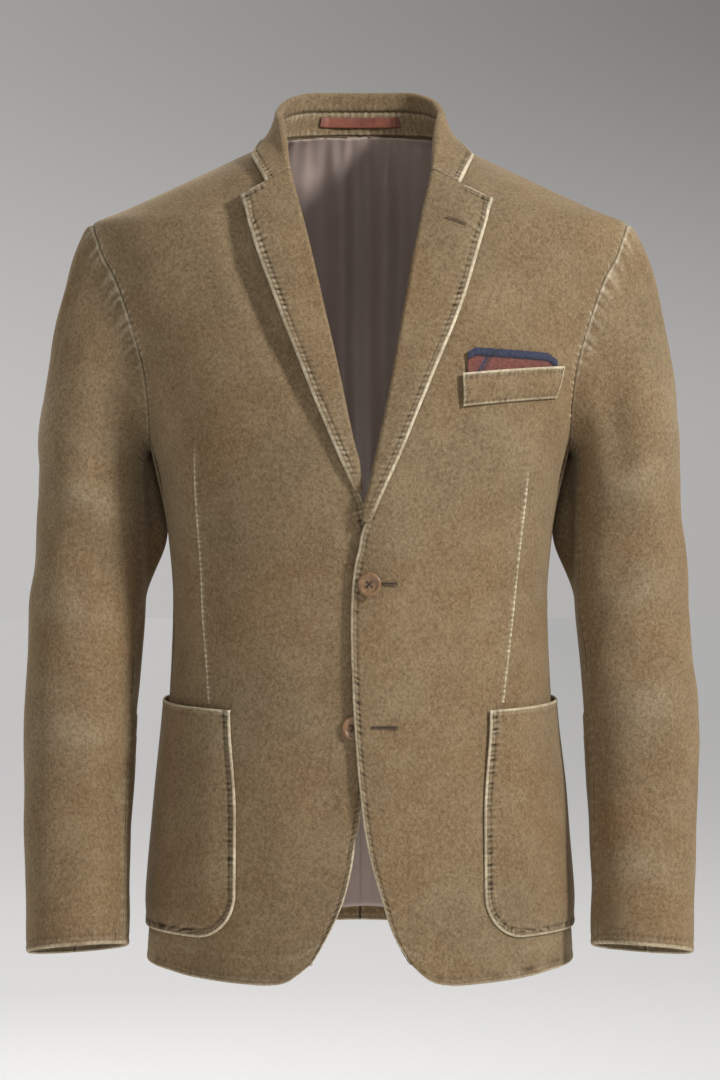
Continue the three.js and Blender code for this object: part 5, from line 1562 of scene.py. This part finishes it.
def stand_points(x, z, into):
    """Points on the inner face of the stand at the back, moved into the neck."""
    stands = np.array(COLLAR["left"][1])
    foot, split = stands[:, 0], stands[:, -1]
    far = np.abs(x)
    station = np.interp(far, foot[:4, 0], np.arange(4))
    i = np.clip(station.astype(int), 0, 2)
    t = (station - i)[..., None]
    low, high = foot[i] * (1 - t) + foot[i + 1] * t, split[i] * (1 - t) + split[i + 1] * t
    up = (z - low[..., 2]) / (high[..., 2] - low[..., 2])
    made = low + (high - low) * up[..., None]
    made[..., 1] -= into
    made[..., 0] = np.copysign(made[..., 0], x)
    return made


def loop_sheet():
    long, high = 2 * LOOP["half"], LOOP["top"] - LOOP["bottom"]
    x = graded(long, LOOP_END, LOOP_END, 1.6) * long - LOOP["half"]
    z = LOOP["bottom"] + high * graded(high, LOOP_EDGE, LOOP_EDGE, 0.8)
    x, z = np.meshgrid(x, z)
    sheet = Sheet(stand_points(x, z, CLOTH / 2 + 0.3 + LOOP["thick"]), outward_front)
    for name in ("left", "right", "top", "bottom"):
        d, _ = sheet.edge(name)
        sheet.lift -= 0.5 * hill(d, 0.5)
        sheet.worn += 0.6 * hill(d, 0.6)
    for name in ("left", "right"):
        d, _ = sheet.edge(name)
        sheet.lift -= 0.5 * hill(d - 3, 0.8)
        sheet.worn += 0.5 * hill(d - 3, 0.7)
    return sheet


cloth_piece("hanger_loop_leather", loop_sheet(), 1, ["hanger_loop"], leather_material(),
            LOOP["thick"])

# %% Buttons
def button_material():
    """Turned horn-brown wood: streaked, polished on the rim."""
    made, tree = material("turned_button_polished")
    streak = spotted(tree, 2.6, 3, (1, 1, 0.3))
    colour = shade(tree, streak, [(0.3, 0), (0.7, 1)], "#6b4c30", "#a17d56")
    surface(tree, {"Base Color": colour}, {"Roughness": 0.36, "Coat Weight": 0.2, "Coat Roughness": 0.25})
    return made


def thread_material(name, colour):
    """Waxed sewing thread."""
    made, tree = material(name)
    surface(tree, {}, {"Base Color": linear(colour), "Roughness": 0.8, "Sheen Weight": 0.2})
    return made


RIM_BEVEL = 0.12
BUTTON = {"radius": 10.25, "thick": 3.4, "hole": 1.05, "spread": 2.1}
BUTTON_PROFILE = [(0.0, 2.2), (3.2, 2.2), (5.6, 2.35), (6.9, 2.75), (7.7, 3.3), (8.5, 3.42), (9.3, 3.3),
                  (9.95, 2.8), (10.25, 2.0), (10.05, 1.1), (9.2, 0.35), (7.6, 0.0), (0.0, 0.0)]
HORN = button_material()
BROWN_THREAD = thread_material("brown_thread", "#3a2c1f")
PALE_THREAD = thread_material("pale_thread", "#b9a883")


def spun(name, profile, steps):
    """A solid turned about +Z from a profile of (radius, height), in millimetres."""
    bm = bmesh.new()
    ring = [bm.verts.new((r, 0, z)) for r, z in profile]
    edges = [bm.edges.new(pair) for pair in zip(ring, ring[1:])]
    bmesh.ops.spin(bm, geom=ring + edges, cent=(0, 0, 0), axis=(0, 0, 1), angle=2 * math.pi,
                   steps=steps, use_merge=True)
    bmesh.ops.remove_doubles(bm, verts=bm.verts, dist=0.01)
    bmesh.ops.recalc_face_normals(bm, faces=bm.faces)
    return mesh_from(bm, name)


def drilled(mesh, drill):
    """The mesh with the drill's shape taken out."""
    body = bpy.data.objects.new("body", mesh)
    cutter = bpy.data.objects.new("cutter", drill)
    scene.collection.objects.link(body)
    scene.collection.objects.link(cutter)
    cut = body.modifiers.new("holes", "BOOLEAN")
    cut.operation, cut.object, cut.solver = "DIFFERENCE", cutter, "EXACT"
    graph = bpy.context.evaluated_depsgraph_get()
    made = bpy.data.meshes.new_from_object(body.evaluated_get(graph))
    bpy.data.objects.remove(body)
    bpy.data.objects.remove(cutter)
    return made


def button_mesh(name):
    """A turned button with four holes."""
    bm = bmesh.new()
    for sx in (-1, 1):
        for sy in (-1, 1):
            place = Matrix.Translation((sx * BUTTON["spread"], sy * BUTTON["spread"], BUTTON["thick"] / 2))
            bmesh.ops.create_cone(bm, cap_ends=True, segments=16, radius1=BUTTON["hole"],
                                  radius2=BUTTON["hole"], depth=4 * BUTTON["thick"], matrix=place)
    return drilled(spun(name, BUTTON_PROFILE, 72), mesh_from(bm, "drill"))


def thread_mesh(name, stitches, thick):
    """Short bent threads joined in one mesh: each is a start, an end and a rise, in millimetres."""
    bm = bmesh.new()
    for start, end, high in stitches:
        start, end = Vector(start), Vector(end)
        line = end - start
        made = bmesh.ops.create_cone(bm, cap_ends=True, segments=6, radius1=thick, radius2=thick,
                                     depth=line.length)["verts"]
        sides = {e for v in made for e in v.link_edges
                 if abs(e.verts[0].co.z - e.verts[1].co.z) > 0.5 * line.length}
        bmesh.ops.subdivide_edges(bm, edges=list(sides), cuts=4)
        fresh = [v for v in bm.verts if not v.tag]
        turn = line.to_track_quat("Z", "Y").to_matrix().to_4x4()
        for v in fresh:
            t = v.co.z / line.length + 0.5
            v.co = turn @ v.co + (start + end) / 2
            v.co.z += high * (1 - (2 * t - 1) ** 2)
            v.tag = True
    return mesh_from(bm, name)


def stand_up(mesh, theta, w, out, sign, turn=0.0):
    """Turns a mesh made flat on XY so that it sits on the trunk, facing out, and scales it to metres."""
    seat = on_trunk(np.array(theta), np.array(w), out) * (sign, 1, 1)
    normal = Vector(trunk_normal(np.array(theta), np.array(w)) * (sign, 1, 1))
    normal.rotate(Matrix.Rotation(turn, 3, "Z"))
    across = Vector((0, 0, 1)).cross(normal).normalized()
    up = normal.cross(across)
    place = Matrix((across, up, normal)).transposed().to_4x4()
    mesh.transform(place)
    mesh.transform(Matrix.Translation(seat))
    mesh.transform(Matrix.Scale(MM, 4))
    mesh.update()
    return mesh


BUTTONS = {"top": {"side": "left", "x": 8.3, "z": -402, "turn": -0.33},
           "lower": {"side": "right", "x": 5.1, "z": -523.6, "turn": 0.0}}
THREAD_CROSS = [((-2.1, -2.1, 2.0), (2.1, 2.1, 2.0), 0.9), ((-2.1, 2.1, 2.0), (2.1, -2.1, 2.0), 1.3),
                ((-2.4, -1.8, 2.0), (1.8, 2.4, 2.0), 0.8), ((-1.8, 2.4, 2.0), (2.4, -1.8, 2.0), 1.1)]
for key, spot in BUTTONS.items():
    side = SIDES[spot["side"]]
    theta, w = map(float, on_front(spot["x"], spot["z"]))
    lifted = BUTTON["radius"] * abs(math.sin(spot["turn"])) + 0.3
    out = lifted + side["proud"]
    mesh = stand_up(button_mesh(f"button_{key}_turned"), theta, w, out, side["sign"], spot["turn"])
    mesh.materials.append(HORN)
    mesh.polygons.foreach_set("use_smooth", np.ones(len(mesh.polygons), bool))
    made = add_piece(f"button_{key}_turned", mesh, [f"button_{key}"])
    bevel = made.modifiers.new("soft", "BEVEL")
    bevel.width, bevel.segments = RIM_BEVEL * MM, 2
    bevel.limit_method, bevel.angle_limit = "ANGLE", 0.9
    thread = stand_up(thread_mesh(f"button_{key}_thread", THREAD_CROSS, 0.42), theta, w, out,
                      side["sign"], spot["turn"])
    thread.materials.append(BROWN_THREAD)
    add_piece(f"button_{key}_thread", thread)
print("buttons:", len(BUTTONS))

# %% [markdown]
# A buttonhole is a slit whose lips are whipped with thread, stitch beside stitch. The round eye at
# one end takes the button's shank. The lapel has one too, sewn in the cloth's own colour.

# %% Buttonholes
EYE_STITCHES, BAR_STITCHES = 14, 5


def buttonhole(name, centre, length, out, tilt, thread, eye=1.0, pitch=0.62, wide=1.5):
    """Stitches round a slit, on the left front, its length along the given tilt."""
    stitches = []
    count = int(length / pitch)
    for k in range(count):
        x = -length / 2 + pitch * (k + 0.5)
        for way in (-1, 1):
            stitches.append(((x, way * 0.35, 0), (x, way * wide, -0.15), 0.25))
    for a in np.arange(EYE_STITCHES) * 2 * math.pi / EYE_STITCHES:
        foot, far = ((-length / 2 + r * eye * math.cos(a), r * eye * math.sin(a), -z)
                     for r, z in ((1.3, 0), (2.6, 0.15)))
        stitches.append((foot, far, 0.25))
    for k in range(BAR_STITCHES):
        y = -1.6 + 0.8 * k
        stitches.append(((length / 2, y - 0.4, 0), (length / 2 + 0.2, y + 0.4, 0), 0.35))
    mesh = thread_mesh(name, stitches, 0.3)
    mesh.transform(Matrix.Rotation(tilt, 4, "Z"))
    theta, w = map(float, on_front(*centre))
    mesh = stand_up(mesh, theta, w, out, 1)
    mesh.materials.append(thread)
    return add_piece(name, mesh)


CLOTH_THREAD = thread_material("cloth_brown_thread", "#5d4a35")
# Painted shadow: a near-black stands in for the shade inside the buttonhole slits
SLIT_PAINTED_SHADOW = thread_material("slit_painted_shadow", "#17120c")
HOLES = {
    "top": {"centre": (24.5, -402), "length": 12.5, "out": 7.3, "tilt": 0.0, "eye": 0.0},
    "lower": {"centre": (20.6, -523), "length": 21, "out": 7.2, "tilt": 0.0, "eye": 0.55},
}


def slit(name, spot):
    """The dark slit and eye between the stitches: a thin near-black lens, painted shadow where the slit is
    in shade.
    """
    bm = bmesh.new()
    bmesh.ops.create_uvsphere(bm, u_segments=20, v_segments=8, radius=1)
    bmesh.ops.scale(bm, vec=(spot["length"] / 2, 0.5, 0.25), verts=bm.verts)
    if spot["eye"]:
        eye = Matrix.Translation((-spot["length"] / 2, 0, 0)) @ Matrix.Diagonal((1.5, 1.4, 0.3, 1))
        bmesh.ops.create_uvsphere(bm, u_segments=20, v_segments=8, radius=1, matrix=eye)
    mesh = mesh_from(bm, name)
    mesh.transform(Matrix.Rotation(spot["tilt"], 4, "Z"))
    theta, w = map(float, on_front(*spot["centre"]))
    mesh = stand_up(mesh, theta, w, spot["out"], 1)
    mesh.materials.append(SLIT_PAINTED_SHADOW)
    return add_piece(name, mesh)


TONAL_THREAD = thread_material("tonal_brown_thread", "#6d5a42")
LAPEL_HOLE = {"centre": (81, -98), "length": 16, "out": 9.1, "tilt": -0.4, "eye": 0.4}
buttonhole("buttonhole_lapel", LAPEL_HOLE["centre"], LAPEL_HOLE["length"], LAPEL_HOLE["out"],
           LAPEL_HOLE["tilt"], TONAL_THREAD, LAPEL_HOLE["eye"], wide=1.1)
for key, spot in HOLES.items():
    buttonhole(f"buttonhole_{key}", spot["centre"], spot["length"], spot["out"], spot["tilt"],
               CLOTH_THREAD, max(spot["eye"], 0.01))
    slit(f"buttonhole_{key}_slit", spot)

# %% Print the sizes and finish
low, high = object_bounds()
sizes = {"cad": [list(cad_box[0]), list(cad_box[1])], "visual": [list(low), list(high)]}
for key, (a, b) in sizes.items():
    print(key, [round(v, 4) for v in a], [round(v, 4) for v in b])
faces = {name: len(each.data.polygons) for name, each in PIECES.items()}
print("faces before walls:", sum(faces.values()), "largest:", max(faces, key=faces.get))
